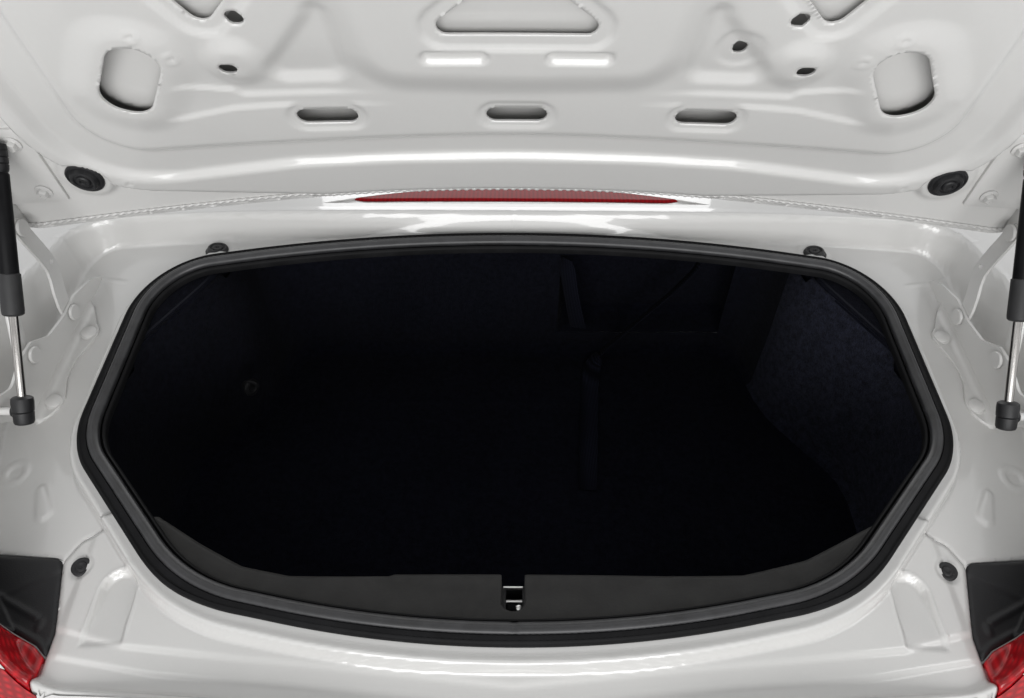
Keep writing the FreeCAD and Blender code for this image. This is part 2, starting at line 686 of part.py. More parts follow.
def make_well():
    """Steel tub with its carpets."""
    floor = size.well_floor
    carpet = size.carpet
    outer = carpet + size.tub_sheet
    under = structure_form(size.skin + size.fit_gap).cut(stop_lamp_space(size.fit_gap))
    outside = upright(well_loop, outer, floor - outer).fuse(recess(outer))
    inside = upright(well_loop, carpet, floor - carpet).fuse(recess(carpet))
    keep_shape("boot_tub", outside.cut(inside).common(under))
    grown = carpet - size.carpet_gap
    lined = upright(well_loop, grown, floor + size.carpet_gap).fuse(recess(grown))
    clear = upright(well_loop, 0.0, floor - carpet).fuse(recess(0.0))
    lining = lined.cut(clear).common(under)
    keep_shape("carpet_floor", upright(well_loop, grown, floor - grown, floor))
    front, rear, fit = size.carpet_front_y, size.carpet_rear_y, size.fit_gap
    keep_shape("carpet_front", lining.common(tower(-FAR, FAR, FAR, front)))
    keep_shape("carpet_rear", lining.common(tower(-FAR, FAR, rear - fit, -FAR)))
    for name, side in SIDES:
        keep_shape("carpet_" + name, lining.common(tower(0, side * FAR, front - fit, rear)))


def make_sill_trim():
    """Moulded strip that covers the rear edge of the well, with a slot for the latch."""
    points = [Vector(-size.sill_half, y, z) for y, z in SILL_LINE]
    strip = Part.Face(Part.makePolygon(points + points[:1])).extrude(Vector(2 * size.sill_half, 0, 0))
    slot = tower(-size.sill_slot, size.sill_slot, size.sill_slot_front, size.sill_slot_rear)
    keep_shape("sill_trim", strip.common(opening_prism(-size.sill_margin)).cut(slot))


def striker_shape():
    """U-shaped bar on a plate under the lid's rear edge, in the lid's closed place."""
    bar = size.striker_bar
    outer, inner = size.striker_half + bar, size.striker_half - bar
    middle, low, top = size.striker_y, size.striker_low, size.seal_height
    corners = [
        (middle + outer, top, 0.2), (middle + outer, low - bar, 2 * bar),
        (middle - outer, low - bar, 2 * bar), (middle - outer, top, 0.2),
        (middle - inner, top, 0.2), (middle - inner, low + bar, 1.0),
        (middle + inner, low + bar, 1.0), (middle + inner, top, 0.2),
    ]
    bow = along_x(rounded_loop(corners, seen_from_side), -bar, bar)
    half = size.striker_plate_half
    reach = outer + size.striker_plate_reach
    plate = tower(-half, half, middle - reach, middle + reach).cut(seal_form(size.striker_plate))
    return bow.fuse(plate).common(seal_form(size.fit_gap - size.lid_rest))


def make_latch():
    """Latch in the rear wall of the well, with the mouth that takes the lid's striker."""
    reach = size.striker_half + size.striker_bar
    front = size.striker_y + reach + size.latch_play
    rear = size.striker_y - reach - size.latch_rear_play
    across = size.striker_bar + size.latch_play
    top = size.latch_top
    bottom = size.striker_low - size.striker_bar - size.latch_play
    half = size.latch_half
    box = block(-half, half, front + size.latch_wall, -FAR, top - size.latch_height, top)
    mouth = block(-across, across, front, rear, bottom, HIGH)
    keep_shape("boot_latch", box.cut(mouth).common(upright(well_loop, -size.fit_gap)))


def stop_lamp_loop():
    """Almond outline of the third stop lamp from above."""
    half = size.stop_lamp_half
    rear = size.stop_lamp_rear
    tip = rear + size.stop_lamp_bow
    front = rear + size.stop_lamp_width
    edges = [
        Part.Arc(Vector(-half, tip, 0), Vector(0, rear, 0), Vector(half, tip, 0)).toShape(),
        Part.Arc(Vector(half, tip, 0), Vector(0, front, 0), Vector(-half, tip, 0)).toShape(),
    ]
    return Part.Wire(edges)


def stop_lamp_space(grow):
    """Room that the third stop lamp takes under the deck."""
    return upright(stop_lamp_loop(), grow).cut(body_form(size.stop_lamp_depth + grow))


def make_stop_lamp():
    """Almond-shaped third stop lamp, flush with the deck in front of the lid."""
    lens = body_form(0.0).cut(body_form(size.stop_lamp_depth))
    keep_shape("stop_lamp", lens.common(upright(stop_lamp_loop(), -size.panel_gap / 2)))


def make_straps():
    """Two luggage straps: one beside the recess, and one from its top that runs down onto the floor."""
    thick = size.strap_thick
    wall = WELL_LINE[0][1] - size.fit_gap
    floor = size.well_floor + size.fit_gap
    x0, z0, x1, z1 = SHORT_STRAP
    down = Vector(0, -thick, 0)
    keep_shape("luggage_strap_short", band(Vector(x0, wall, z0), Vector(x1, wall, z1), down))
    top_x, foot_x = LONG_STRAP_TOP
    end_x, end_y = LONG_STRAP_END
    foot = Vector(foot_x, wall, floor)
    hanging = band(Vector(top_x, wall, size.strap_top), foot, down)
    lying = band(foot, Vector(end_x, end_y, floor), Vector(0, 0, thick))
    keep_shape("luggage_strap_long", hanging.fuse(lying))


def band(first, last, thick):
    """Flat strap between two places."""
    across = Vector(size.strap_width / 2, 0, 0)
    corners = [first - across, first + across, last + across, last - across]
    return Part.Face(Part.makePolygon(corners + corners[:1])).extrude(thick)


def make_deck_buffers():
    """Rubber buffers in the gutter at the lid's front corners."""
    for name, side in SIDES:
        foot = Vector(side * size.buffer_x, size.buffer_y, 0)
        column = Part.makeCylinder(size.buffer_radius, HIGH, foot).cut(gutter_form(0.0))
        foot.z = column.BoundBox.ZMin + size.buffer_height
        above = Part.makeCylinder(size.buffer_radius + 1, HIGH, foot)
        keep_shape("deck_buffer_" + name, column.cut(above))


def hull_plate(points, inner, outer, radius):
    """Flat plate round a loop of points of the side view, with a margin."""
    nib = 0.5
    loop = rounded_loop([(point.y, point.z, nib) for point in points], seen_from_side)
    return along_x(loop, min(inner, outer), max(inner, outer), radius - nib)


def link_plate(start, end, inner, outer):
    """Flat link with round ends between two pins."""
    radius = size.link_half_width
    run = (end - start).normalize()
    across = Vector(0, -run.z, run.y) * radius
    corners = [start + across, end + across, end - across, start - across]
    plate = Part.Face(Part.makePolygon(corners + corners[:1]))
    plate.translate(Vector(min(inner, outer), 0, 0))
    plate = plate.extrude(Vector(abs(outer - inner), 0, 0))
    return plate.fuse([disc(start, radius, inner, outer), disc(end, radius, inner, outer)])


def headed_pin(point, side, start, under_head, outward):
    """Pin along X with a head at its end; outward is 1 away from the middle plane and -1 towards it."""
    head_end = under_head + outward * size.head_height
    pin = disc(point, size.pin_radius, side * start, side * under_head)
    return pin.fuse(disc(point, size.pin_head, side * under_head, side * head_end))


def make_hinges():
    """Base, front link, rear link and lid bracket of both hinges."""
    half = size.plate / 2
    inner, outer = size.hinge_plane - half, size.hinge_plane + half
    front_outer = inner - size.link_gap
    front_inner = front_outer - size.plate
    rear_inner = outer + size.link_gap
    rear_outer = rear_inner + size.plate
    front_head = front_inner - size.link_gap
    rear_head = rear_outer + size.link_gap
    bore = size.pin_radius + size.pin_clearance
    for name, side in SIDES:
        make_hinge_base(name, side, inner, outer, front_head, rear_head)
        link = link_plate(front_pivot, lid_place.multVec(front_pin_closed), side * front_inner, side * front_outer)
        for point in (front_pivot, lid_place.multVec(front_pin_closed)):
            link = link.cut(disc(point, bore, side * (front_inner - 1), side * (front_outer + 1)))
        keep_shape("front_link_" + name, link)
        link = link_plate(rear_pivot, lid_place.multVec(rear_pin_closed), side * rear_inner, side * rear_outer)
        link = link.cut(disc(rear_pivot, bore, side * (rear_inner - 1), side * (rear_outer + 1)))
        head = (side * rear_outer, side * (rear_outer + size.head_height))
        link = link.fuse(disc(lid_place.multVec(rear_pin_closed), size.pin_head, *head))
        keep_shape("rear_link_" + name, link)
        make_lid_bracket(name, side, inner, outer, front_head)


def make_hinge_base(name, side, inner, outer, front_head, rear_head):
    """Foot on the gutter with an upright plate that carries both pivots and the strut's stud."""
    web_front, web_rear = Vector(0, size.web_front, size.web_low), Vector(0, size.web_rear, size.web_low)
    web = hull_plate([front_pivot, web_front, web_rear, rear_pivot], side * inner, side * outer, size.boss_radius)
    arm = hull_plate([rear_pivot, web_rear, strut_body], side * inner, side * outer, size.boss_radius - 1)
    foot = gutter_form(-size.fit_gap - size.plate)
    foot = foot.common(upright(rounded_loop(on_side(FOOT_LINE, side), seen_from_above)))
    base = foot.common(upright(lid_loop, -size.foot_margin)).fuse([web, arm])
    base = base.cut(gutter_form(-size.fit_gap))
    stud_end = size.strut_plane + size.socket_half + size.fit_gap
    base = base.fuse([
        headed_pin(front_pivot, side, outer, front_head, -1),
        headed_pin(rear_pivot, side, inner, rear_head, 1),
        disc(rear_pivot, size.pin_head, side * inner, side * (inner - size.head_height)),
        disc(strut_body, size.stud_radius, side * inner, side * stud_end),
    ])
    keep_shape("hinge_base_" + name, base)


def make_lid_bracket(name, side, inner, outer, front_head):
    """Upright plate under the lid with a flange on its hem, drawn closed and lifted open."""
    seat = size.lid_skin + size.fit_gap + size.lid_inner_sheet + size.bracket_gap
    hem = body_form(seat)
    top = [Vector(0, size.bracket_rear, size.crown_top), Vector(0, front_pin_closed.y, size.crown_top)]
    points = [front_pin_closed, rear_pin_closed, strut_lid_closed] + top
    bracket = hull_plate(points, side * inner, side * outer, size.boss_radius).common(hem)
    flange = tower(side * size.bracket_inner, side * outer, size.bracket_front, size.bracket_rear)
    flange = flange.common(hem).cut(body_form(seat + size.plate))
    bracket = bracket.fuse([
        flange,
        headed_pin(front_pin_closed, side, outer, front_head, -1),
        disc(strut_lid_closed, size.stud_radius, side * inner, side * size.strut_plane),
    ])
    keep_shape("lid_bracket_" + name, bracket, lid_place)


def make_struts():
    """Gas struts: tube with its upper socket, and rod with its lower socket."""
    half = size.socket_half
    strut_lid = lid_place.multVec(strut_lid_closed)
    run = (strut_body - strut_lid).normalize()
    closed_length = (strut_body - strut_lid_closed).Length
    bore_start = closed_length - size.rod_length - size.rod_room
    for name, side in SIDES:
        x = side * size.strut_plane
        top = strut_lid + Vector(x, 0, 0)
        bottom = strut_body + Vector(x, 0, 0)
        body = Part.makeCylinder(size.tube_radius, size.tube_end - size.tube_start, top + run * size.tube_start, run)
        bore = Part.makeCylinder(size.rod_radius + size.pin_clearance, size.tube_end, top + run * bore_start, run)
        neck = Part.makeCylinder(size.neck_radius, size.neck_length, top, run)
        socket = disc(strut_lid, size.socket_radius, x - half, x + half)
        stud_hole = disc(strut_lid, size.stud_radius + size.pin_clearance, x, side * (abs(x) + half + 1))
        keep_shape("strut_tube_" + name, body.fuse([neck, socket]).cut([bore, stud_hole]))
        rod = Part.makeCylinder(size.rod_radius, size.rod_length, bottom, run * -1)
        ring = disc(strut_body, size.socket_radius, x - half, x + half)
        collar = Part.makeCylinder(size.neck_radius, size.neck_length, bottom, run * -1)
        keep_shape("strut_rod_" + name, rod.fuse([ring, collar]))


def slot_prism(x, y, length, width):
    """Upright prism with round ends."""
    radius = width / 2 - 0.01
    half, side = length / 2, width / 2
    corners = [(x - half, y - side), (x + half, y - side), (x + half, y + side), (x - half, y + side)]
    return upright(rounded_loop([(u, v, radius) for u, v in corners], seen_from_above))


def lid_openings():
    """Holes pressed through the lid's inner panel, in its closed place."""
    holes = [slot_prism(*row) for row in LID_SLOTS]
    holes.append(upright(rounded_loop(MIDDLE_HOLE, seen_from_above)))
    for name, side in SIDES:
        for outline in (SIDE_HOLE, REAR_HOLE):
            holes.append(upright(rounded_loop(on_side(outline, side), seen_from_above)))
    return holes


def make_lid():
    """Outer skin and inner panel of the lid with striker and stops, drawn closed and lifted open."""
    skin = size.lid_skin
    metal = size.lid_inner_sheet
    seat = skin + size.fit_gap
    rest = size.lid_rest
    room = tower(-FAR, FAR, FAR, -FAR).cut(gutter_form(-size.lid_lift))
    outer = body_form(0.0).cut(body_form(skin)).common(upright(lid_loop, -size.lid_gap))
    keep_shape("lid_outer", outer.common(room), lid_place)
    trimmed = upright(lid_loop, -size.lid_gap - size.hem_margin).common(room)
    wide = upright(seal_loop, size.pan_margin)
    narrow = upright(seal_loop, size.pan_margin - metal)
    pan = body_form(seat).common(wide).cut(seal_form(-rest))
    pan = pan.cut(body_form(skin).common(narrow).cut(seal_form(-rest - metal)))
    hem = body_form(seat).cut(body_form(seat + metal)).common(trimmed).cut(narrow)
    inner = pan.common(trimmed).fuse(hem).cut(lid_openings())
    keep_shape("lid_inner", inner, lid_place)
    keep_shape("lid_striker", striker_shape(), lid_place)
    under = seat + metal + size.fit_gap
    for name, side in SIDES:
        foot = Vector(side * size.lid_stop_x, size.lid_stop_y, 0)
        stop = Part.makeCylinder(size.lid_stop_radius, HIGH, foot).common(body_form(under))
        keep_shape("lid_stop_" + name, stop.cut(body_form(under + size.lid_stop_height)), lid_place)


def make_cross_member():
    """Box section across the front joint, with its four bolt holes."""
    body = doc.addObject("PartDesign::Body", "cross_member")
    section = plane_sketch(body, "YZ_Plane", "cross_section")
    depth, top, wall = "sizes.cross_depth", "sizes.cross_height / 2", "sizes.cross_wall"
    draw_frame(section, [("-" + depth, "-" + top), ("0", "-" + top), ("0", top), ("-" + depth, top)])
    back, face = "%s - %s" % (wall, depth), "-" + wall
    roof, floor = "%s - %s" % (top, wall), "%s - %s" % (wall, top)
    draw_frame(section, [(back, floor), (face, floor), (face, roof), (back, roof)])
    pad = body.newObject("PartDesign::Pad", "cross_pad")
    pad.Profile = section
    pad.SideType = "Symmetric"
    pad.setExpression("Length", "sizes.cross_width")
    doc.recompute()
    bolts = plane_sketch(body, "XZ_Plane", "bolt_circles")
    half_x, half_z = size.bolt_spacing_x / 2, size.bolt_spacing_z / 2
    for index, (sx, sz) in enumerate(((-1, -1), (1, -1), (1, 1), (-1, 1))):
        start = (sx * half_x, sz * half_z)
        bolts.addGeometry(Part.Circle(Vector(*start, 0), Vector(0, 0, 1), size.bolt_hole), False)
        across, up = "%d * sizes.bolt_spacing_x / 2" % sx, "%d * sizes.bolt_spacing_z / 2" % sz
        pin_point(bolts, index, 3, across, up, start)
        radius = bolts.addConstraint(Sketcher.Constraint("Radius", index, size.bolt_hole))
        bolts.setExpression("Constraints[%d]" % radius, "sizes.bolt_hole")
    doc.recompute()
    pocket = body.newObject("PartDesign::Pocket", "bolt_holes")
    pocket.Profile = bolts
    pocket.setExpression("Length", "sizes.cross_wall * 2")
    doc.recompute()
    if pocket.Shape.Volume > pad.Shape.Volume - 1.0:
        pocket.Reversed = True
        doc.recompute()
    keep(body, "cross_member")


def make_frame_rails():
    """Channels from the cross member under the boot to the rear panel."""
    top = size.well_floor - size.carpet - size.tub_sheet - size.fit_gap
    low = top - size.rail_height
    drop = size.cross_height / 2
    start = -size.cross_depth - size.fit_gap
    rear = size.rear_panel_y + size.fit_gap
    rise, bend = size.rail_rise, size.rail_bend
    side_view = [
        (start, -drop, 2.0), (start, drop, 2.0), (start - rise, top, bend), (rear, top, 2.0),
        (rear, low, 2.0), (start - rise - size.rail_height, low, bend), (start - rise / 2, -drop, bend),
    ]
    loop = rounded_loop(side_view, seen_from_side)
    wall = size.rail_wall
    half = size.rail_width / 2
    for name, side in SIDES:
        centre = side * size.rail_offset
        rail = along_x(loop, centre - half, centre + half)
        hollow = along_x(loop, centre - half + wall, centre + half - wall)
        hollow.translate(Vector(0, 0, wall))
        keep_shape("frame_rail_" + name, rail.cut(hollow))


def make_bulkheads():
    """Rear panel behind the well and bulkhead above the cross member."""
    metal = size.tub_sheet
    under = structure_form(size.skin + size.fit_gap)
    rear, half = size.rear_panel_y, size.rear_panel_half
    panel = block(-half, half, rear, rear - metal, size.rear_panel_low, HIGH).common(under)
    for name, side in SIDES:
        panel = panel.cut(lamp_prism(side, size.panel_gap))
    keep_shape("rear_panel", panel)
    face = size.front_plane - size.fit_gap
    front = block(-FAR, FAR, face, face - metal, size.cross_height / 2 + size.fit_gap, HIGH).common(under)
    middle = size.cross_width / 2
    wheels = wheel_space(size.arch_lining).cut(tower(-middle, middle, FAR, -FAR))
    keep_shape("front_bulkhead", front.cut(wheels))


def plane_sketch(body, role, name):
    """Sketch on one of a body's own origin planes."""
    sketch = body.newObject("Sketcher::SketchObject", name)
    plane = [item for item in body.Origin.OriginFeatures if item.Role == role][0]
    sketch.AttachmentSupport = [(plane, "")]
    sketch.MapMode = "FlatFace"
    return sketch


def pin_point(sketch, item, point, across, up, start):
    """Hold a sketch point at two expressions, from its rough place."""
    number = sketch.addConstraint(Sketcher.Constraint("DistanceX", -1, 1, item, point, start[0]))
    sketch.setExpression("Constraints[%d]" % number, across)
    number = sketch.addConstraint(Sketcher.Constraint("DistanceY", -1, 1, item, point, start[1]))
    sketch.setExpression("Constraints[%d]" % number, up)


def draw_frame(sketch, corners):
    """Closed loop of lines through corners given as pairs of expressions."""
    first = sketch.GeometryCount
    rough = [(float(sketch.evalExpression(a)), float(sketch.evalExpression(b))) for a, b in corners]
    count = len(corners)
    for index in range(count):
        start, end = rough[index], rough[(index + 1) % count]
        sketch.addGeometry(Part.LineSegment(Vector(*start, 0), Vector(*end, 0)), False)
    for index in range(count):
        following = first + (index + 1) % count
        sketch.addConstraint(Sketcher.Constraint("Coincident", first + index, 2, following, 1))
    for index, (across, up) in enumerate(corners):
        pin_point(sketch, first + index, 1, across, up, rough[index])


def write_parts():
    """Check every object and every sub-part, then write one file for each sub-part."""
    doc.recompute()
    for item in doc.Objects:
        if "Invalid" in item.State or "Error" in item.State:
            raise RuntimeError("%s did not recompute" % item.Name)
    os.makedirs("parts", exist_ok=True)
    for item in sub_parts:
        shape = item.Shape
        if shape.isNull() or not shape.isValid() or shape.Volume <= 0:
            raise RuntimeError("%s has no valid shape" % item.Label)
        shape.exportStep(os.path.join("parts", item.Label + ".step"))
        print("%-22s %2d solids %9.1f cm3" % (item.Label, len(shape.Solids), shape.Volume / 1000))


make_outer_panels()
make_seal()
make_well()
make_sill_trim()
make_latch()
make_deck_buffers()
make_stop_lamp()
make_straps()
make_cross_member()
make_frame_rails()
make_bulkheads()
make_hinges()
make_struts()
make_lid()
write_parts()
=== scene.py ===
import json
import math

import bmesh
import bpy
import numpy as np
from bpy.props import FloatProperty, FloatVectorProperty, PointerProperty
from mathutils import Matrix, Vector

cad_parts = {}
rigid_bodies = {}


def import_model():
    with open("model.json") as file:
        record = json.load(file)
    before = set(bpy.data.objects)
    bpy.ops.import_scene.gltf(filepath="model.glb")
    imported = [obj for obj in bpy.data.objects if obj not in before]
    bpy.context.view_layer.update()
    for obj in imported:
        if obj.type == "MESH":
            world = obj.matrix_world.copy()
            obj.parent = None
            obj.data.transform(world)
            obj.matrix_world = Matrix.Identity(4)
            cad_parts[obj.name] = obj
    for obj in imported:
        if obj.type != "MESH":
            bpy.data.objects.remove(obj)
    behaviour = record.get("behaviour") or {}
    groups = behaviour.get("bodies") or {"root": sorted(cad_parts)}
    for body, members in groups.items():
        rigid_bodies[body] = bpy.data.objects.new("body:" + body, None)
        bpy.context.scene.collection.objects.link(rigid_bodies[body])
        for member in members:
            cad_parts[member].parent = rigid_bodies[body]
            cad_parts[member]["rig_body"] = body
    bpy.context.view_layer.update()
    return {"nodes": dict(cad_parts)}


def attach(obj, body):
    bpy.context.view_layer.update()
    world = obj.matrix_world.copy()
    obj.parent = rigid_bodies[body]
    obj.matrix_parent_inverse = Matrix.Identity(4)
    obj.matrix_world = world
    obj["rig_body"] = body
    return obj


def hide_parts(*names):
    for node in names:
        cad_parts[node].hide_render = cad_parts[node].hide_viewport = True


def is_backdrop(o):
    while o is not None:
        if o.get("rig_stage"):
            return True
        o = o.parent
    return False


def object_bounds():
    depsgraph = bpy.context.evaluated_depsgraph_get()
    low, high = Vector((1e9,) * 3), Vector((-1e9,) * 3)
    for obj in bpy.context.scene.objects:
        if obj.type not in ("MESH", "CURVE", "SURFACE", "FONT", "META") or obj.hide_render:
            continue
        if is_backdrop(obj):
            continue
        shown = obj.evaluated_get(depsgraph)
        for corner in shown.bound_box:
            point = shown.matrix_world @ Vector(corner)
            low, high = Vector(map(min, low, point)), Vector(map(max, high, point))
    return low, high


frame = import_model()

bl_info = {
    "name": "Boot section looks",
    "version": (1, 0, 0),
    "blender": (4, 5, 0),
    "location": "3D View > Sidebar > Boot",
    "description": "Dresses the packed boot section in paint, rubber, carpet and glass",
    "category": "Object",
}

# Lengths in this file are in millimetres until a mesh is made.
MM = 0.001
SIDES = (("left", -1.0), ("right", 1.0))

# Plan lines, right half from front to rear. Columns: x, y, corner radius.
SEAL_LINE = [(0, -128, 2860), (436, -178, 90), (434.5, -424, 100), (287, -580, 190), (0, -642, 950)]
LID_LINE = [
    (0, -145, 3000), (538, -104, 45), (556, -340, 260), (505, -520, 200), (395, -640, 90), (0, -676, 1500)
]
WELL_LINE = [
    (335, -75, 55), (345, -185, 140), (428, -318, 130), (425, -418, 90), (280, -569, 180), (0, -630, 940)
]
FINISHER_LINE = [
    (0, -540, 40), (280, -500, 6), (350, -484, 6), (398, -510, 10), (409, -529, 6), (392, -586, 20),
    (391, -720, 4)
]
FILLER_LINE = [(391, -690, 4), (391, -578, 30), (411, -525, 10), (560, -506, 10), (620, -690, 10)]
PANEL_LINE = [(0, -236, 2000), (384, -222, 46), (372, -400, 60), (270, -545, 120), (0, -598, 900)]
PLATEAU_LINE = [(0, -296, 900), (124, -302, 42), (150, -440, 60), (190, -560, 60), (0, -574, 900)]

# Beads pressed in the right gutter.
GUTTER_BEADS = [
    [(224, -131), (312, -126), (385, -121), (460, -118), (508, -114), (541, -130)],
    [(559, -140), (538, -152), (519, -164)],
    [(507, -168), (473, -178)],
    [(553, -212), (543, -242)],
]
# The gutter laps onto the outer panels in front of the lamps: y where the lap begins and is full.
LAP_START = (-516.0, -496.0)
# Inner edge of the tail lens's upper part: x and y.
LAMP_EDGE = ([391, 405, 429, 445, 470, 505], [-612, -601, -590, -584, -574, -556])
# Ribs of the right lamp filler.
FILLER_RIB = [(500, -536), (457, -557), (414, -577)]
FILLER_LOW_RIB = [(505, -553), (470, -571), (445, -581), (429, -587), (405, -598), (391, -609)]
# Fold and shelf across the rear finisher: x from the middle, and y.
FINISHER_FOLD = ([0, 227, 295, 388], [-652, -633, -626, -609])
FINISHER_SHELF = ([0, 228, 324, 390], [-640, -617, -605, -588])
# Front edge of the sill trim, left to right. Columns: x, y.
TRIM_FRONT = (
    [-325, -282, -238, -195, -108, -104, 128, 199, 257, 326],
    [-496, -520, -542, -551, -551, -549.5, -549.5, -548, -533.5, -501]
)

# Places from above, right side. Columns: x, y.
LID_STOP = (422.0, -179.0)
DECK_BUFFER = (364.0, -144.0)
FINISHER_CLIP = (388.0, -535.0)
FINISHER_POCKET = (345.0, -557.0)
LID_BOLTS = [(470.0, -163.0), (468.0, -222.0)]
FOOT_BOLTS = [(487.0, -257.0), (491.0, -350.0)]

# Hinge base in side view and from above, and the cranked front link's middle. Columns: y, z.
WEB_LINE = [
    (-171, 416, 2), (-196, 430, 10), (-232, 438, 8), (-262, 434, 14), (-296, 437, 18), (-322, 453, 9),
    (-346, 452, 8), (-374, 441, 12), (-402, 453, 11), (-416, 437, 11), (-400, 420, 6), (-378, 394, 4),
    (-345, 394, 30), (-282, 400, 60), (-216, 408, 3), (-218, 414, 1), (-200, 411, 8)
]
FOOT_EDGE = (
    [-375, -366, -358, -345, -335, -320, -305, -288, -268, -259, -252, -243, -228, -220, -213],
    [499, 489, 483, 481, 484, 489, 490, 487, 479, 476, 477, 484, 491, 495, 499]
)
LINK_PATH = [
    (-248.9, 427), (-248.2, 440), (-244, 455), (-238.5, 468), (-235, 481), (-236, 493), (-239, 508),
    (-243, 524), (-247.1, 542.5)
]

# Pins of the hinge: y and z on the base, then x, y and z on the lid.
WEB_PINS = [(-248.88, 427.0), (-329.57, 442.0)]
LID_PINS = [(503.0, -247.09, 542.46), (506.5, -253.89, 580.33)]
# Faces of the base's upright web and of the front link, as distances from the middle plane.
WEB_FACES = (499.5, 502.5)
LINK_FACES = (503.0, 506.0)
# Strut: distance from the middle plane, then the y and z of its ball studs.
STRUT_X = 476.0
STRUT_TOP = (-256.52, 633.87)
STRUT_FOOT = (-402.3, 439.4)

# Body: crown over the width and along the length, and the rear face below it.
CROWN_TOP, CROWN_RADIUS = 494.3, 4500.0
LENGTH_MIDDLE, LENGTH_RADIUS = -300.0, 1550.0
REAR_BOW_RADIUS = 1690.0
REAR_FACE = ([-751, -744, -719, -690, -660, -622, -560], [180, 250, 310, 360, 420, 540, 736])
# Sloping surfaces, each falling backward from y = SLOPE_START: height there, slope, side fall divisor.
SLOPE_START = -150.0
SEAL_SLOPE = (470.0, math.tan(math.radians(5.9)), 9060.0)
GUTTER_SLOPE = (450.0, math.tan(math.radians(6.6)), 6250.0)
WELL_FLOOR = 190.0

# Lid's swing from shut to open, and the y and z of one point of it in both places.
LID_SWING = math.radians(76.1)
LID_SHUT = (-126.2, 484.5)
LID_OPEN = (-195.9, 547.5)

# Closed loops on one side of the lid's inner panel, seen from above with the lid shut.
MIDDLE_HOLE = [(-76, -351, 8), (76, -351, 8), (24, -394, 8), (-24, -394, 8)]
SIDE_HOLE = [(315, -270, 18), (352, -287, 18), (315, -345, 18), (271, -341, 18)]
REAR_HOLE = [(238, -356, 10), (292, -446, 14), (150, -446, 14)]
HOLLOW_LINE = [(216, -301, 12), (160, -366, 10), (146, -420, 8), (140, -302, 14)]
# Slots: x, y, length, width.
THROUGH_SLOTS = [(-167, -259, 54, 17), (0, -259, 54, 17), (167, -259, 54, 17)]
PRESSED_SLOTS = [(-50, -330, 53, 11), (50, -330, 53, 11)]
OVAL_HOLES = [(212, -365, 15, 10), (232, -319, 15, 10)]
SMALL_SCREWS = [(294, -353), (273, -329), (378, -177)]
# Round pressing with a short slot in it, on the right only. Columns: x, y.
PRESSED_DISC = (176.6, -333.5)
# Creases across the lid's panel: x and y of the line, then where it fades in and out.
CREASES = [
    ([0, 101, 195, 242, 289, 301], [-274, -274, -275, -273, -263, -262], (95.0, 160.0), (308.0, 292.0)),
    ([0, 112, 233, 237, 281], [-287, -287, -286.5, -292, -299], (105.0, 170.0), (292.0, 276.0)),
]
# Front edge of the raised field of the lid's panel: x from the middle, and y.
LID_RIDGE = ([0, 112, 209, 309, 402, 464], [-196, -194.5, -190.5, -178.5, -161.5, -140])

# Turned profiles: distance along the axis and radius.
DECK_BUFFER_PROFILE = [
    (-4, 14.6), (1.2, 14.6), (2.2, 13.8), (2.6, 12.6), (4.6, 12.2), (6.6, 11.2), (7.4, 9.8), (7.2, 8.6),
    (5.8, 7.8), (5.8, 6.4), (7.0, 5.8), (7.4, 4.4), (7.0, 2.6), (5.8, 1.9), (5.7, 0.3)
]
LID_STOP_PROFILE = [
    (-1.0, 18.6), (1.6, 18.6), (2.6, 17.8), (3.0, 16.4), (2.2, 15.6), (2.2, 14.4), (4.0, 13.6), (6.2, 12.6),
    (6.8, 11.0), (6.4, 9.4), (5.0, 8.8), (5.0, 7.4), (6.4, 6.8), (7.2, 5.6), (7.0, 3.4), (5.8, 2.6),
    (5.6, 0.3)
]
CLIP_PROFILE = [
    (-1, 8.6), (1.4, 8.6), (2.2, 7.8), (2.4, 6.6), (1.8, 5.4), (1.8, 4.8), (2.6, 4.2), (2.9, 3.0), (2.2, 1.6),
    (1.9, 0.4)
]
HOOK_FOOT_PROFILE = [(-1, 11), (1.5, 11), (2.6, 9.5), (3.0, 6.5), (2.0, 5.0), (2.0, 0.2)]
FLAT_BOLT_PROFILE = [(-0.5, 9.6), (0.9, 9.6), (1.3, 8.9), (1.0, 8.4), (2.2, 8.1), (3.0, 7.0), (3.2, 0.3)]
RIVET_PROFILE = [(-0.4, 7.0), (1.2, 7.0), (1.3, 8.9), (3.2, 8.9), (3.9, 8.1), (4.0, 0.3)]
TUBE_PROFILE = [(17, 6.4), (18.5, 8.0), (20, 8.4), (118, 8.4), (119, 7.9)]
SLEEVE_PROFILE = [(110, 8.3), (111, 9.4), (145, 9.6), (148.5, 9.2), (150, 7.6), (150.6, 4.8), (149.5, 4.2)]
TOP_SOCKET_PROFILE = [
    (-9, 5), (-8, 8.2), (-3, 8.8), (-2.4, 8.2), (-1.6, 8.8), (3, 8.9), (3.6, 8.2), (4.4, 8.9), (9, 8.9),
    (9.6, 8.2), (10.4, 8.9), (15, 8.6), (17, 7.8), (19, 6.6)
]
FOOT_SOCKET_PROFILE = [
    (-13, 6.0), (-12, 8.2), (-10, 9.0), (-1, 9.2), (-0.4, 8.5), (0.4, 9.5), (9, 9.9), (13, 9.5), (14.5, 7.6),
    (15, 4.4)
]
SOCKET_BOSS_PROFILE = [(0, 6.2), (8.6, 6.2), (9.6, 5.6), (9.7, 4.4)]

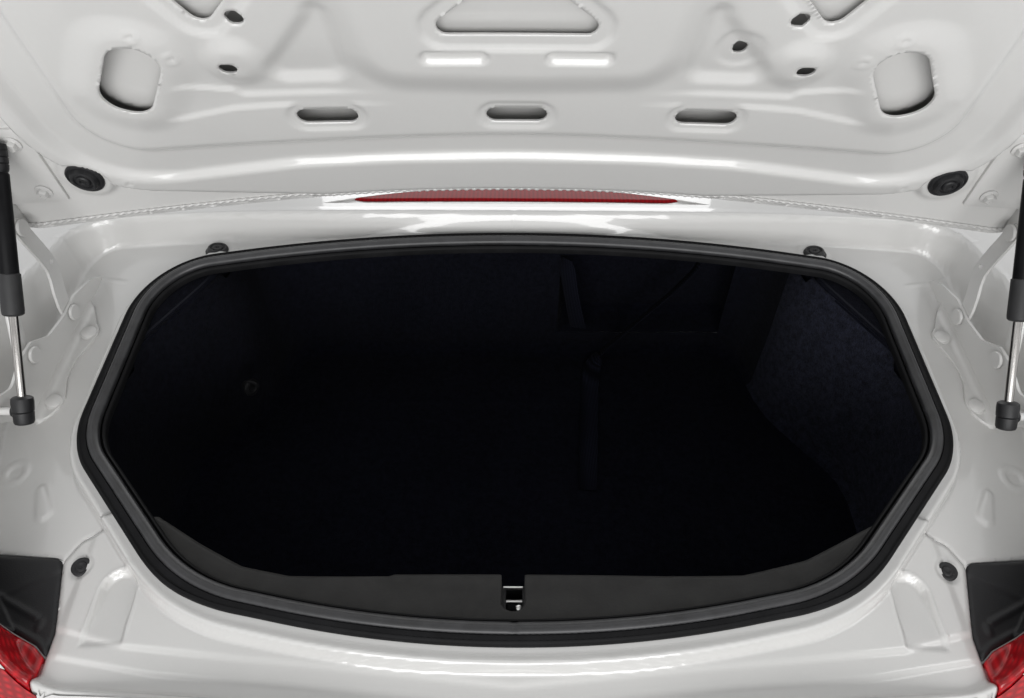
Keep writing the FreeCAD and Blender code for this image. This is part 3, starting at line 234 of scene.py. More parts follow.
# Sections of the seal: distance outward from the seal's line, and height over its plane.
BULB_SECTION = [
    (-10.9, -4.2), (-11.1, -2.4), (-12.3, -0.9), (-14.2, -0.1), (-15.2, -0.5), (-16.2, 0.0), (-17.8, -0.2),
    (-18.8, -0.9), (-20.2, -1.5), (-21.5, -3.2), (-22.0, -5.5), (-21.4, -8.5), (-19.0, -10.5), (-14.0, -10.5),
    (-11.4, -8.0)
]
CARRIER_SECTION = [
    (-0.4, -12.2), (-0.4, -7.4), (-1.3, -4.9), (-3.0, -4.0), (-4.6, -5.0), (-5.2, -5.4), (-7.8, -3.9),
    (-10.2, -3.1), (-11.5, -5.0), (-12.0, -11.5), (-21.6, -11.5), (-22.4, -8.2), (-24.0, -6.8), (-25.6, -7.6),
    (-26.4, -10.0), (-26.2, -15.5), (-20.0, -16.6), (-10.0, -13.2)
]
# Points of the carrier's section that every second rib raises.
RIBBED_POINTS = (5, 6, 7)

# Middle lines of the luggage straps. Columns: x, y, z.
SHORT_STRAP = [(68, -80, 372), (69, -83, 362), (74, -86, 330), (82, -87, 290), (88, -85, 262), (92, -81, 244)]
LONG_STRAP = [
    (248, -80, 372), (244, -84, 360), (216, -90, 322), (176, -94, 272), (142, -97, 230), (122, -101, 206),
    (114, -112, 197.5), (108, -150, 194.5), (103, -210, 194.2), (98, -270, 194.5), (93, -328, 194.0)
]
# Lashing hooks: two on the floor and one on the left wall.
HOOKS = [(-322, -452, 192), (322, -452, 192), (-330, -250, 300)]
# Recess in the right of the front wall: x, z and depth.
RECESS_X, RECESS_Z, RECESS_DEPTH = (60.0, 320.0), (232.0, 376.0), 44.0

# Stage, in metres: each lamp's name, place, target, size and power in watts.
LAMPS = [
    ("ceiling_lamp", (0.0, -0.35, 2.6), (0.0, -0.3, 0.3), (2.6, 1.4), 2.0),
    ("front_lamp", (0.0, -2.6, 1.15), (0.0, -0.3, 0.72), (2.2, 1.1), 47.0),
    ("back_lamp", (0.0, 2.6, 1.1), (0.0, -0.2, 0.4), (2.2, 1.1), 20.0),
    ("left_lamp", (-2.0, -1.3, 1.7), (0.0, -0.4, 0.45), (0.5, 1.6), 2.5),
    ("right_lamp", (2.2, -0.9, 1.7), (0.0, -0.3, 0.5), (0.5, 1.6), 5.5),
]
WORLD_STRENGTH = 0.40
# Camera of the photo: place, focal length and middle in pixels of a width, and its two angles.
CAMERA_PLACE = (0.0, -0.848, 0.989)
FOCAL_PIXELS, MIDDLE_PIXELS, PICTURE_WIDTH, SENSOR = 728.3, 3.5, 1024, 36.0
CAMERA_PITCH, CAMERA_ROLL = math.radians(45.87), math.radians(0.3)


def ease(value, start, end):
    """Smooth step from 0 at start to 1 at end, in either direction."""
    t = np.clip((value - start) / (end - start), 0.0, 1.0)
    return t * t * (3.0 - 2.0 * t)


def whole(half):
    """Both halves of a loop that is the same left and right."""
    return half + [(-x, y, radius) for x, y, radius in reversed(half) if x > 0]


class Outline:
    """Closed plan line of straight runs and tangent arcs, with the signed distance of points from it."""

    def __init__(self, corners, step=4.0):
        line = []
        for index, (x, y, radius) in enumerate(corners):
            here = np.array((x, y), float)
            back = np.array(corners[index - 1][:2], float) - here
            ahead = np.array(corners[(index + 1) % len(corners)][:2], float) - here
            back /= np.linalg.norm(back)
            ahead /= np.linalg.norm(ahead)
            half = math.acos(float(np.clip(back @ ahead, -1, 1))) / 2
            inward = (back + ahead) / np.linalg.norm(back + ahead)
            reach = radius / math.tan(half)
            centre = here + inward * radius / math.sin(half)
            first, last = here + back * reach - centre, here + ahead * reach - centre
            start = math.atan2(first[1], first[0])
            turn = (math.atan2(last[1], last[0]) - start + math.pi) % (2 * math.pi) - math.pi
            count = max(3, int(abs(turn) * radius / step) + 1)
            for t in np.linspace(0, 1, count):
                angle = start + turn * t
                line.append(centre + radius * np.array((math.cos(angle), math.sin(angle))))
        self.line = np.array(line)

    def distance(self, x, y):
        """Distance from the line, negative inside it."""
        best = np.full(x.shape, 1e12)
        inside = np.zeros(x.shape, bool)
        for (ax, ay), (bx, by) in zip(self.line, np.roll(self.line, -1, 0)):
            dx, dy = bx - ax, by - ay
            length = dx * dx + dy * dy
            if length < 1e-9:
                continue
            px, py = x - ax, y - ay
            t = np.clip((px * dx + py * dy) / length, 0, 1)
            best = np.minimum(best, (px - t * dx) ** 2 + (py - t * dy) ** 2)
            if abs(dy) > 1e-9:
                inside ^= ((ay > y) != (by > y)) & (px < dx * py / dy)
        return np.where(inside, -1.0, 1.0) * np.sqrt(best)

    def spaced(self, pitch):
        """Evenly spaced points along the line, with the outward direction at each."""
        closed = np.vstack([self.line, self.line[:1]])
        run = np.concatenate([[0], np.cumsum(np.linalg.norm(np.diff(closed, axis=0), axis=1))])
        count = int(run[-1] / pitch)
        at = np.arange(count) * run[-1] / count
        points = np.stack([np.interp(at, run, closed[:, 0]), np.interp(at, run, closed[:, 1])], 1)
        along = np.roll(points, -1, 0) - np.roll(points, 1, 0)
        out = np.stack([along[:, 1], -along[:, 0]], 1) / np.linalg.norm(along, axis=1)[:, None]
        area = np.sum(points[:, 0] * np.roll(points[:, 1], -1) - np.roll(points[:, 0], -1) * points[:, 1])
        return points, out if area > 0 else -out


def slot_distance(x, y, centre_x, centre_y, length, width):
    """Signed distance from a slot with round ends that lies along X."""
    reach = np.maximum(np.abs(x - centre_x) - (length - width) / 2, 0)
    return np.hypot(reach, y - centre_y) - width / 2


def run_distance(x, y, points):
    """Distance from an open run of straight pieces."""
    best = np.full(x.shape, 1e12)
    for (ax, ay), (bx, by) in zip(points, points[1:]):
        dx, dy = bx - ax, by - ay
        t = np.clip(((x - ax) * dx + (y - ay) * dy) / (dx * dx + dy * dy), 0, 1)
        best = np.minimum(best, (x - ax - t * dx) ** 2 + (y - ay - t * dy) ** 2)
    return np.sqrt(best)


seal_line = Outline(whole(SEAL_LINE))
lid_line = Outline(whole(LID_LINE))
well_line = Outline(whole(WELL_LINE))
finisher_line = Outline(whole(FINISHER_LINE))
filler_line = Outline(FILLER_LINE)
panel_line = Outline(whole(PANEL_LINE))
plateau_line = Outline(whole(PLATEAU_LINE))
hollow_line = Outline(HOLLOW_LINE)
side_hole_line = Outline(SIDE_HOLE)
middle_hole_line = Outline(MIDDLE_HOLE)
rear_hole_line = Outline(REAR_HOLE)
web_line = Outline(WEB_LINE, 2.0)


def crown(x, y, inset=0.0):
    """Height of the body's top surface, drawn in by an inset."""
    along = np.sqrt(np.maximum((LENGTH_RADIUS - inset) ** 2 - (y - LENGTH_MIDDLE) ** 2, 0))
    across = CROWN_RADIUS - LENGTH_RADIUS + along
    return CROWN_TOP - CROWN_RADIUS + np.sqrt(np.maximum(across ** 2 - x ** 2, 0))


def rear_wall(x, y, inset=0.0):
    """Height of the body's rear face as it falls away behind the lid."""
    bow = REAR_BOW_RADIUS - np.sqrt(REAR_BOW_RADIUS ** 2 - np.minimum(np.abs(x), 700.0) ** 2)
    return np.interp(y - inset - bow, *REAR_FACE)


def body_top(x, y, inset=0.0):
    """Height of the closed body's outside."""
    return np.minimum(crown(x, y, inset), rear_wall(x, y, inset))


def sloping(x, y, front, slope, divisor):
    """Surface that falls backward and to the sides."""
    return front + slope * (y - SLOPE_START) - x ** 2 / divisor


def seal_top(x, y):
    """Height of the seal's upper face."""
    return sloping(x, y, *SEAL_SLOPE)


def gutter_floor(x, y):
    """Height of the gutter's floor."""
    return sloping(x, y, *GUTTER_SLOPE)


def lid_hem(x, y):
    """Underside of the lid's hem, just inside the outer skin."""
    return body_top(x, y, 4.8)


def gutter_surface(x, y):
    """Gutter under the lid: ledge for the seal, floor, and the wall that rolls up to the outer panels."""
    seal = seal_line.distance(x, y)
    lid = lid_line.distance(x, y)
    floor = gutter_floor(x, y)
    ledge = seal_top(x, y) - 14.0 + 1.6 * ease(seal, 0.0, 8.0)
    floor = floor + np.maximum(ledge - floor, 0) * ease(seal, 13.0, 8.5)
    top = body_top(x, y)
    wall = ease(lid, -9.0, 3.0) ** 0.8
    raised = floor + np.maximum(top - floor, 0) * wall
    blend = np.clip(0.5 + (top - raised) / 16.0, 0, 1)
    rolled = top * (1 - blend) + raised * blend - 4.0 * blend * (1 - blend)
    behind = ease(y, -575.0, -610.0)
    return raised * (1 - behind) + np.minimum(rolled, top) * behind


def height_at(surface, x, y, *inset):
    """Height of a surface over one point."""
    return float(surface(np.array([x]), np.array([y]), *inset)[0])


def lifted(points):
    """Points of the closed lid, moved to where the lid stands open."""
    moved = np.array(points, float)
    across, up = moved[:, 1] - LID_SHUT[0], moved[:, 2] - LID_SHUT[1]
    moved[:, 1] = across * math.cos(LID_SWING) + up * math.sin(LID_SWING) + LID_OPEN[0]
    moved[:, 2] = -across * math.sin(LID_SWING) + up * math.cos(LID_SWING) + LID_OPEN[1]
    return moved


def trimmed_grid(xs, ys, edge):
    """Quads of a grid inside an edge function, with the corners near the edge drawn onto it."""
    gx, gy = np.meshgrid(xs, ys, indexing="ij")
    x, y = gx.ravel().copy(), gy.ravel().copy()
    gap_x = np.gradient(xs)[:, None] + 0 * gy
    gap_y = np.gradient(ys)[None, :] + 0 * gx
    pitch = np.minimum(gap_x, gap_y).ravel()
    side = edge(x, y)
    near = np.abs(side) < 0.55 * pitch
    nx, ny = x[near], y[near]
    slope_x = (edge(nx + 0.2, ny) - edge(nx - 0.2, ny)) / 0.4
    slope_y = (edge(nx, ny + 0.2) - edge(nx, ny - 0.2)) / 0.4
    steep = np.maximum(slope_x ** 2 + slope_y ** 2, 0.25)
    x[near] -= slope_x / steep * side[near]
    y[near] -= slope_y / steep * side[near]
    kept = side < 0.55 * pitch
    index = np.arange(len(x)).reshape(len(xs), len(ys))
    cells = np.stack([index[:-1, :-1], index[1:, :-1], index[1:, 1:], index[:-1, 1:]], -1).reshape(-1, 4)
    inside = kept[cells]
    count, middle = inside.sum(1), side[cells].mean(1)
    quads = cells[(count == 4) & (middle < 0)]
    three = (count == 3) & (middle < 0.3 * pitch[cells[:, 0]])
    triangles = cells[three][inside[three]].reshape(-1, 3)
    used = np.unique(np.concatenate([quads.ravel(), triangles.ravel()]))
    order = np.full(len(x), -1)
    order[used] = np.arange(len(used))
    faces = [list(face) for face in order[quads]] + [list(face) for face in order[triangles]]
    return x[used], y[used], faces


def with_rim(points, faces, steps):
    """Sheet whose free edges are turned over by a list of offsets."""
    seen = {}
    for face in faces:
        for a, b in zip(face, face[1:] + face[:1]):
            seen[(a, b)] = seen.get((a, b), 0) + 1
    border = [(a, b) for a, b in seen if (b, a) not in seen]
    points = [tuple(point) for point in points]
    faces = list(faces)
    for step in steps:
        new = {}
        for index in sorted({i for pair in border for i in pair}):
            new[index] = len(points)
            points.append(tuple(np.array(points[index]) + np.array(step)))
        faces += [[b, a, new[a], new[b]] for a, b in border]
        border = [(new[a], new[b]) for a, b in border]
    return np.array(points), faces


class Signal:
    """Shader socket used in plain arithmetic: each operation adds one Math node."""

    def __init__(self, tree, socket):
        self.tree = tree
        self.socket = socket

    def joined(self, operation, first, second):
        node = self.tree.nodes.new("ShaderNodeMath")
        node.operation = operation
        for socket, value in zip(node.inputs, (first, second)):
            if isinstance(value, Signal):
                self.tree.links.new(value.socket, socket)
            else:
                socket.default_value = value
        return Signal(self.tree, node.outputs[0])

    def __add__(self, other):
        return self.joined("ADD", self, other)

    def __radd__(self, other):
        return self.joined("ADD", other, self)

    def __mul__(self, other):
        return self.joined("MULTIPLY", self, other)

    def __rmul__(self, other):
        return self.joined("MULTIPLY", other, self)

    def __gt__(self, other):
        return self.joined("GREATER_THAN", self, other)


class Nodes:
    """Node tree that is filled through one method."""

    def __init__(self, tree):
        self.tree = tree

    def node(self, kind, settings, sockets, output=0):
        """Adds any node: its settings are set first, then the values or links of its sockets."""
        node = self.tree.nodes.new(kind)
        for label, value in settings.items():
            if label == "stops":
                ramp = node.color_ramp.elements
                while len(ramp) < len(value):
                    ramp.new(0.5)
                for element, (at, colour) in zip(ramp, value):
                    element.position = at
                    element.color = colour
            else:
                setattr(node, label, value)
        for label, value in sockets.items():
            if isinstance(value, Signal):
                self.tree.links.new(value.socket, node.inputs[label])
            else:
                node.inputs[label].default_value = value
        return Signal(self.tree, node.outputs[output]) if node.outputs else None


class Finish(Nodes):
    """Material made of nodes round one Principled shader."""

    def __init__(self, name, **fixed):
        self.material = bpy.data.materials.new(name)
        self.material.use_nodes = True
        super().__init__(self.material.node_tree)
        self.shader = self.tree.nodes["Principled BSDF"]
        for label, value in fixed.items():
            self.shader.inputs[label.replace("_", " ")].default_value = value
        self.place = self.node("ShaderNodeTexCoord", {}, {}, "Object")

    def stretched(self, scale, turn=(0.0, 0.0, 0.0)):
        """The object's own coordinates, scaled unevenly and turned."""
        return self.node("ShaderNodeMapping", {}, {"Vector": self.place, "Scale": scale, "Rotation": turn})

    def noise(self, scale, detail=3.0, roughness=0.55, place=None):
        """Noise in cells per metre."""
        sockets = {"Vector": place or self.place, "Scale": scale, "Detail": detail, "Roughness": roughness}
        return self.node("ShaderNodeTexNoise", {}, sockets)

    def cells(self, scale):
        """Distance from the middles of random cells."""
        return self.node("ShaderNodeTexVoronoi", {}, {"Vector": self.place, "Scale": scale})

    def bands(self, scale, direction):
        """Soft parallel bands."""
        settings = {"wave_type": "BANDS", "bands_direction": direction}
        return self.node("ShaderNodeTexWave", settings, {"Vector": self.place, "Scale": scale}, 1)

    def ramp(self, value, low, high):
        """Value stretched so that low becomes 0 and high becomes 1."""
        settings = {"stops": [(low, (0, 0, 0, 1)), (high, (1, 1, 1, 1))]}
        return self.node("ShaderNodeValToRGB", settings, {"Fac": value})

    def mixed(self, factor, first, second):
        """Colour between two colours."""
        return self.node("ShaderNodeMix", {"data_type": "RGBA"}, {0: factor, 6: first, 7: second}, 2)

    def feed(self, label, value):
        """Links a value to one socket of the shader."""
        self.tree.links.new(value.socket, self.shader.inputs[label])

    def coloured(self, tone, base, dark, light):
        """Base colour that runs with a tone between a dark and a light shade of one colour."""
        self.feed("Base Color", self.mixed(tone, shade(base, dark), shade(base, light)))

    def bump(self, height, strength, depth):
        """Relief of a given depth in metres on the surface."""
        normal = self.node("ShaderNodeBump", {}, {"Strength": strength, "Distance": depth, "Height": height})
        self.feed("Normal", normal)


def shade(colour, factor):
    """Colour with its three parts scaled, and full cover."""
    return tuple(min(1.0, part * factor) for part in colour[:3]) + (1.0,)


finishes = {}


def finish(name):
    """Material by its plain name, made when it is first asked for."""
    if name not in finishes:
        finishes[name] = RECIPES[name](bpy.context.scene.boot_looks)
    return finishes[name]


def gloss_paint(looks):
    """Body colour under clear lacquer, with a faint orange peel and a soft drift of tone."""
    paint = Finish("body_gloss_paint", Roughness=0.32, Coat_Weight=1.0, Coat_Roughness=0.04, Coat_IOR=1.5)
    drift = paint.noise(2.2, 2.0)
    fleck = paint.noise(420.0, 2.0)
    tone = drift * 0.6 + fleck * 0.4
    paint.coloured(tone, looks.paint, 0.955, 1.03)
    paint.feed("Roughness", 0.26 + 0.12 * drift)
    paint.bump(paint.noise(160.0, 2.0) + 0.35 * paint.noise(620.0, 1.0), 0.035, 0.0006)
    return paint.material


def inner_paint(looks):
    """Body colour inside the lid and gutters: thinner lacquer, a little dust and faint runs."""
    paint = Finish("inner_body_paint", Roughness=0.36, Coat_Weight=0.8, Coat_Roughness=0.08)
    dust = paint.noise(9.0, 5.0, 0.62)
    fleck = paint.noise(300.0, 2.0)
    tone = dust * 0.7 + fleck * 0.3
    paint.coloured(tone, looks.paint, 0.93, 1.02)
    paint.feed("Roughness", 0.28 + 0.16 * dust)
    paint.bump(paint.noise(120.0, 3.0) + 0.4 * paint.noise(520.0, 1.0), 0.05, 0.0007)
    return paint.material


def under_paint(looks):
    """Matt sprayed coat on the structure below the boot, with stone-guard texture."""
    coat = Finish("underbody_coat", Roughness=0.6)
    blotch = coat.noise(14.0, 6.0, 0.65)
    grain = coat.noise(380.0, 3.0)
    tone = blotch * 0.75 + grain * 0.25
    coat.coloured(tone, looks.primer, 0.78, 1.15)
    coat.feed("Roughness", 0.5 + 0.25 * blotch)
    coat.bump(grain + 0.5 * coat.noise(90.0, 3.0), 0.25, 0.0008)
    return coat.material


def tub_paint(looks):
    """Matt coat of the tub, black on the upper edge that the carpets meet."""
    coat = Finish("tub_coat", Roughness=0.7, Specular_IOR_Level=0.15)
    blotch = coat.noise(14.0, 6.0, 0.65)
    grain = coat.noise(380.0, 3.0)
    shown = coat.mixed(blotch * 0.75 + grain * 0.25, shade(looks.primer, 0.78), shade(looks.primer, 1.15))
    upper = coat.node("ShaderNodeSeparateXYZ", {}, {"Vector": coat.place}, "Z") > 0.36
    coat.feed("Base Color", coat.mixed(upper, shown, shade(looks.carpet, 1.0)))
    coat.bump(grain + 0.5 * coat.noise(90.0, 3.0), 0.25, 0.0008)
    return coat.material


def sealer_paint(looks):
    """Painted seam sealer with a stitched edge."""
    sealer = Finish("seam_sealer", Roughness=0.45, Coat_Weight=0.5, Coat_Roughness=0.12)
    lumps = sealer.noise(260.0, 3.0)
    sealer.coloured(lumps, looks.paint, 0.84, 0.98)
    sealer.bump(lumps, 0.3, 0.0008)
    return sealer.material


def seal_rubber(looks):
    """Matt black rubber with a fine skin and a trace of dust."""
    rubber = Finish("seal_rubber", Roughness=0.55, Specular_IOR_Level=0.08)
    dust = rubber.noise(26.0, 6.0, 0.7)
    skin = rubber.noise(900.0, 3.0)
    rubber.coloured(rubber.ramp(dust, 0.45, 0.85), looks.rubber, 0.5, 1.1)
    rubber.feed("Roughness", 0.42 + 0.24 * dust)
    rubber.bump(skin + 0.4 * rubber.noise(140.0, 2.0), 0.16, 0.0005)
    return rubber.material


def bulb_rubber(looks):
    """Smooth black skin of the seal's bulb, lightened to grey as a painted sheen, with long soft streaks of
    painted highlight and a trace of dust.
    """
    rubber = Finish("seal_bulb_rubber_and_sheen", Roughness=0.42, Specular_IOR_Level=0.5)
    dust = rubber.noise(22.0, 6.0, 0.7)
    highlight_streaks = rubber.noise(60.0, 3.0, 0.6)
    tone = dust * 0.5 + highlight_streaks * 0.5
    # Up to three times the rubber colour: painted sheen and highlight streaks over the dust.
    rubber.coloured(rubber.ramp(tone, 0.35, 0.75), looks.rubber, 0.9, 3.1)
    rubber.feed("Roughness", 0.3 + 0.24 * dust)
    rubber.bump(rubber.noise(900.0, 3.0), 0.1, 0.0004)
    return rubber.material


def stop_rubber(looks):
    """Harder moulded rubber of the buffers and lid stops."""
    rubber = Finish("buffer_rubber", Roughness=0.42, Specular_IOR_Level=0.3)
    dust = rubber.noise(60.0, 5.0, 0.65)
    rubber.coloured(dust, looks.rubber, 0.7, 1.9)
    rubber.feed("Roughness", 0.32 + 0.25 * dust)
    rubber.bump(rubber.noise(700.0, 3.0), 0.12, 0.0004)
    return rubber.material


def grained_plastic(looks):
    """Moulded black plastic with a pebbled grain."""
    plastic = Finish("black_grained_plastic", Roughness=0.45, Specular_IOR_Level=0.3)
    grain = plastic.cells(900.0)
    wear = plastic.noise(12.0, 5.0, 0.6)
    plastic.coloured(wear, looks.plastic, 0.75, 1.45)
    plastic.feed("Roughness", 0.36 + 0.2 * wear)
    plastic.bump(grain, 0.22, 0.0004)
    return plastic.material


def trim_plastic(looks):
    """Dark grey satin plastic of the sill's trim, with a fine leather grain."""
    plastic = Finish("sill_trim_plastic", Roughness=0.6, Specular_IOR_Level=0.12)
    grain = plastic.cells(520.0)
    scuff = plastic.noise(30.0, 6.0, 0.68)
    plastic.coloured(plastic.ramp(scuff, 0.35, 0.8), looks.trim, 0.85, 1.35)
    plastic.feed("Roughness", 0.42 + 0.22 * scuff)
    plastic.bump(grain + 0.3 * plastic.noise(1200.0, 2.0), 0.18, 0.0004)
    return plastic.material


def carpet_felt(looks):
    """Needled felt of the well: near black with a blue cast, matted fibres and lint."""
    felt = Finish(
        "boot_carpet", Roughness=1.0, Sheen_Weight=0.015, Sheen_Roughness=0.5, Specular_IOR_Level=0.02
    )
    fibres = felt.noise(1500.0, 4.0, 0.7, felt.stretched((1.0, 0.35, 1.0), (0.2, 0.3, 0.5)))
    clumps = felt.noise(160.0, 4.0, 0.6)
    worn = felt.noise(7.0, 4.0, 0.6)
    tone = fibres * 0.55 + clumps * 0.3 + worn * 0.15
    felt.coloured(felt.ramp(tone, 0.38, 0.72), looks.carpet, 0.3, 2.2)
    felt.bump(fibres + 0.6 * clumps, 0.75, 0.0022)
    return felt.material


def lit_side_felt(looks):
    """Longer fuzz over the wheel arches with pale lint, made much lighter than the floor's felt as painted
    light.
    """
    felt = Finish(
        "arch_carpet_painted_lit", Roughness=1.0, Sheen_Weight=0.03, Sheen_Roughness=0.45, Specular_IOR_Level=0.02
    )
    hairs = felt.noise(1150.0, 5.0, 0.75, felt.stretched((0.5, 1.0, 0.25), (0.4, 0.2, 0.7)))
    clumps = felt.noise(120.0, 5.0, 0.65)
    tone = hairs * 0.6 + clumps * 0.4
    # Up to eight times the carpet colour: painted light on the same felt.
    felt.coloured(felt.ramp(tone, 0.4, 0.75), looks.carpet, 0.7, 8.0)
    felt.bump(hairs + 0.7 * clumps, 0.9, 0.003)
    return felt.material


def strap_web(looks):
    """Woven black webbing."""
    web = Finish("strap_webbing", Roughness=0.9, Sheen_Weight=0.01, Specular_IOR_Level=0.03)
    warp = web.bands(150.0, "X")
    weft = web.bands(110.0, "Z")
    weave = warp * weft
    web.coloured(weave, looks.carpet, 0.5, 3.0)
    web.bump(weave, 0.6, 0.0008)
    return web.material


def lens_glass(looks):
    """Red lamp lens with its moulded prisms seen through the gloss, and a faint painted glow."""
    lens = Finish(
        "red_lens", Roughness=0.12, Coat_Weight=0.25, Coat_Roughness=0.03, Specular_IOR_Level=0.25,
        Emission_Strength=0.05
    )
    columns = lens.bands(34.0, "X")
    rows = lens.bands(52.0, "Z")
    prisms = columns * rows
    depth = lens.noise(7.0, 2.0)
    tone = prisms * 0.65 + depth * 0.35
    colour = lens.mixed(tone, shade(looks.lens, 0.35), shade(looks.lens, 1.1))
    lens.feed("Base Color", colour)
    # The lens colour also feeds a faint emission: painted glow of the unlit lens.
    lens.feed("Emission Color", colour)
    lens.bump(prisms, 0.12, 0.0006)
    return lens.material


def stop_glass(looks):
    """Deep red lens of the third stop lamp, ribbed on its inside, with a faint painted glow."""
    lens = Finish("stop_lamp_red", Roughness=0.3, Specular_IOR_Level=0.06, Emission_Strength=0.03)
    ribs = lens.bands(60.0, "X")
    depth = lens.noise(9.0, 2.0)
    colour = lens.mixed(ribs * 0.5 + depth * 0.5, shade(looks.lens, 0.3), shade(looks.lens, 0.62))
    lens.feed("Base Color", colour)
    # The lens colour also feeds a faint emission: painted glow of the unlit lens.
    lens.feed("Emission Color", colour)
    lens.bump(ribs, 0.08, 0.0004)
    return lens.material


def reflector(looks):
    """Bright inside of a lamp housing."""
    mirror = Finish("lamp_reflector", Metallic=0.9, Roughness=0.2)
    facets = mirror.cells(120.0)
    mirror.feed("Base Color", mirror.mixed(facets, (0.55, 0.55, 0.56, 1), (0.85, 0.85, 0.86, 1)))
    mirror.bump(facets, 0.4, 0.001)
    return mirror.material


def plated_steel(looks):
    """Zinc-plated steel with a fine turned grain and dull spots."""
    steel = Finish("plated_steel", Metallic=1.0, Roughness=0.3)
    lines = steel.noise(500.0, 2.0, 0.5, steel.stretched((1.0, 1.0, 0.08)))
    spots = steel.noise(45.0, 5.0, 0.65)
    steel.feed("Base Color", steel.mixed(spots, (0.42, 0.42, 0.41, 1), (0.68, 0.68, 0.67, 1)))
    steel.feed("Roughness", 0.2 + 0.25 * spots)
    steel.bump(lines, 0.12, 0.0003)
    return steel.material


def rod_steel(looks):
    """Hard-chromed rod, lightly oiled, its colour kept dark as a painted reflection of dark surroundings."""
    steel = Finish("polished_rod", Metallic=1.0, Roughness=0.12)
    haze = steel.noise(30.0, 4.0)
    # Dark grey for chrome: painted reflection of dark surroundings.
    steel.feed("Base Color", steel.mixed(haze, (0.20, 0.19, 0.18, 1), (0.42, 0.41, 0.40, 1)))
    steel.feed("Roughness", 0.16 + 0.16 * haze)
    steel.bump(steel.noise(900.0, 1.0, 0.5, steel.stretched((1.0, 1.0, 0.1))), 0.05, 0.0002)
    return steel.material


def strut_paint(looks):
    """Black baked paint of the gas struts."""
    paint = Finish("strut_black_paint", Roughness=0.3, Specular_IOR_Level=0.05)
    dust = paint.noise(50.0, 5.0, 0.65)
    paint.coloured(dust, looks.plastic, 0.4, 1.1)
    paint.feed("Roughness", 0.26 + 0.22 * dust)
    paint.bump(paint.noise(500.0, 2.0), 0.08, 0.0004)
    return paint.material


def sleeve_grey(looks):
    """Dull grey sleeve on the strut's tube."""
    sleeve = Finish("strut_sleeve", Roughness=0.5, Specular_IOR_Level=0.25)
    dust = sleeve.noise(70.0, 5.0, 0.6)
    sleeve.feed("Base Color", sleeve.mixed(dust, (0.018, 0.018, 0.019, 1), (0.036, 0.036, 0.037, 1)))
    sleeve.feed("Roughness", 0.4 + 0.2 * dust)
    sleeve.bump(sleeve.noise(600.0, 2.0), 0.1, 0.0004)
    return sleeve.material


RECIPES = {
    "gloss paint": gloss_paint,
    "inner paint": inner_paint,
    "under paint": under_paint,
    "tub paint": tub_paint,
    "sealer": sealer_paint,
    "seal rubber": seal_rubber,
    "bulb rubber and sheen": bulb_rubber,
    "stop rubber": stop_rubber,
    "grained plastic": grained_plastic,
    "trim plastic": trim_plastic,
    "carpet": carpet_felt,
    "painted lit carpet": lit_side_felt,
    "webbing": strap_web,
    "lens": lens_glass,
    "stop lens": stop_glass,
    "reflector": reflector,
    "plated steel": plated_steel,
    "rod": rod_steel,
    "strut paint": strut_paint,
    "sleeve": sleeve_grey,
}


def finished(piece, paint, body, slot=None, stands_for=()):
    """Gives a new piece its material, its body and the CAD nodes that it stands for; the slot is not used."""
    piece.data.materials.clear()
    piece.data.materials.append(finish(paint))
    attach(piece, body)
    if stands_for:
        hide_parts(*stands_for)


def placed(name, data):
    """New object in the scene for a mesh, a lamp or a camera."""
    piece = bpy.data.objects.new(name, data)
    bpy.context.scene.collection.objects.link(piece)
    return piece


def smooth(mesh, angle):
    """Smooth shading but for edges sharper than an angle."""
    mesh.shade_smooth()
    mesh.set_sharp_from_angle(angle=math.radians(angle))


def new_piece(name, points, faces):
    """Smooth object from points in millimetres."""
    mesh = bpy.data.meshes.new(name)
    mesh.from_pydata(
        (np.asarray(points, float) * MM).tolist(), [], [[int(i) for i in face] for face in faces]
    )
    mesh.update()
    mesh.shade_smooth()
    return placed(name, mesh)


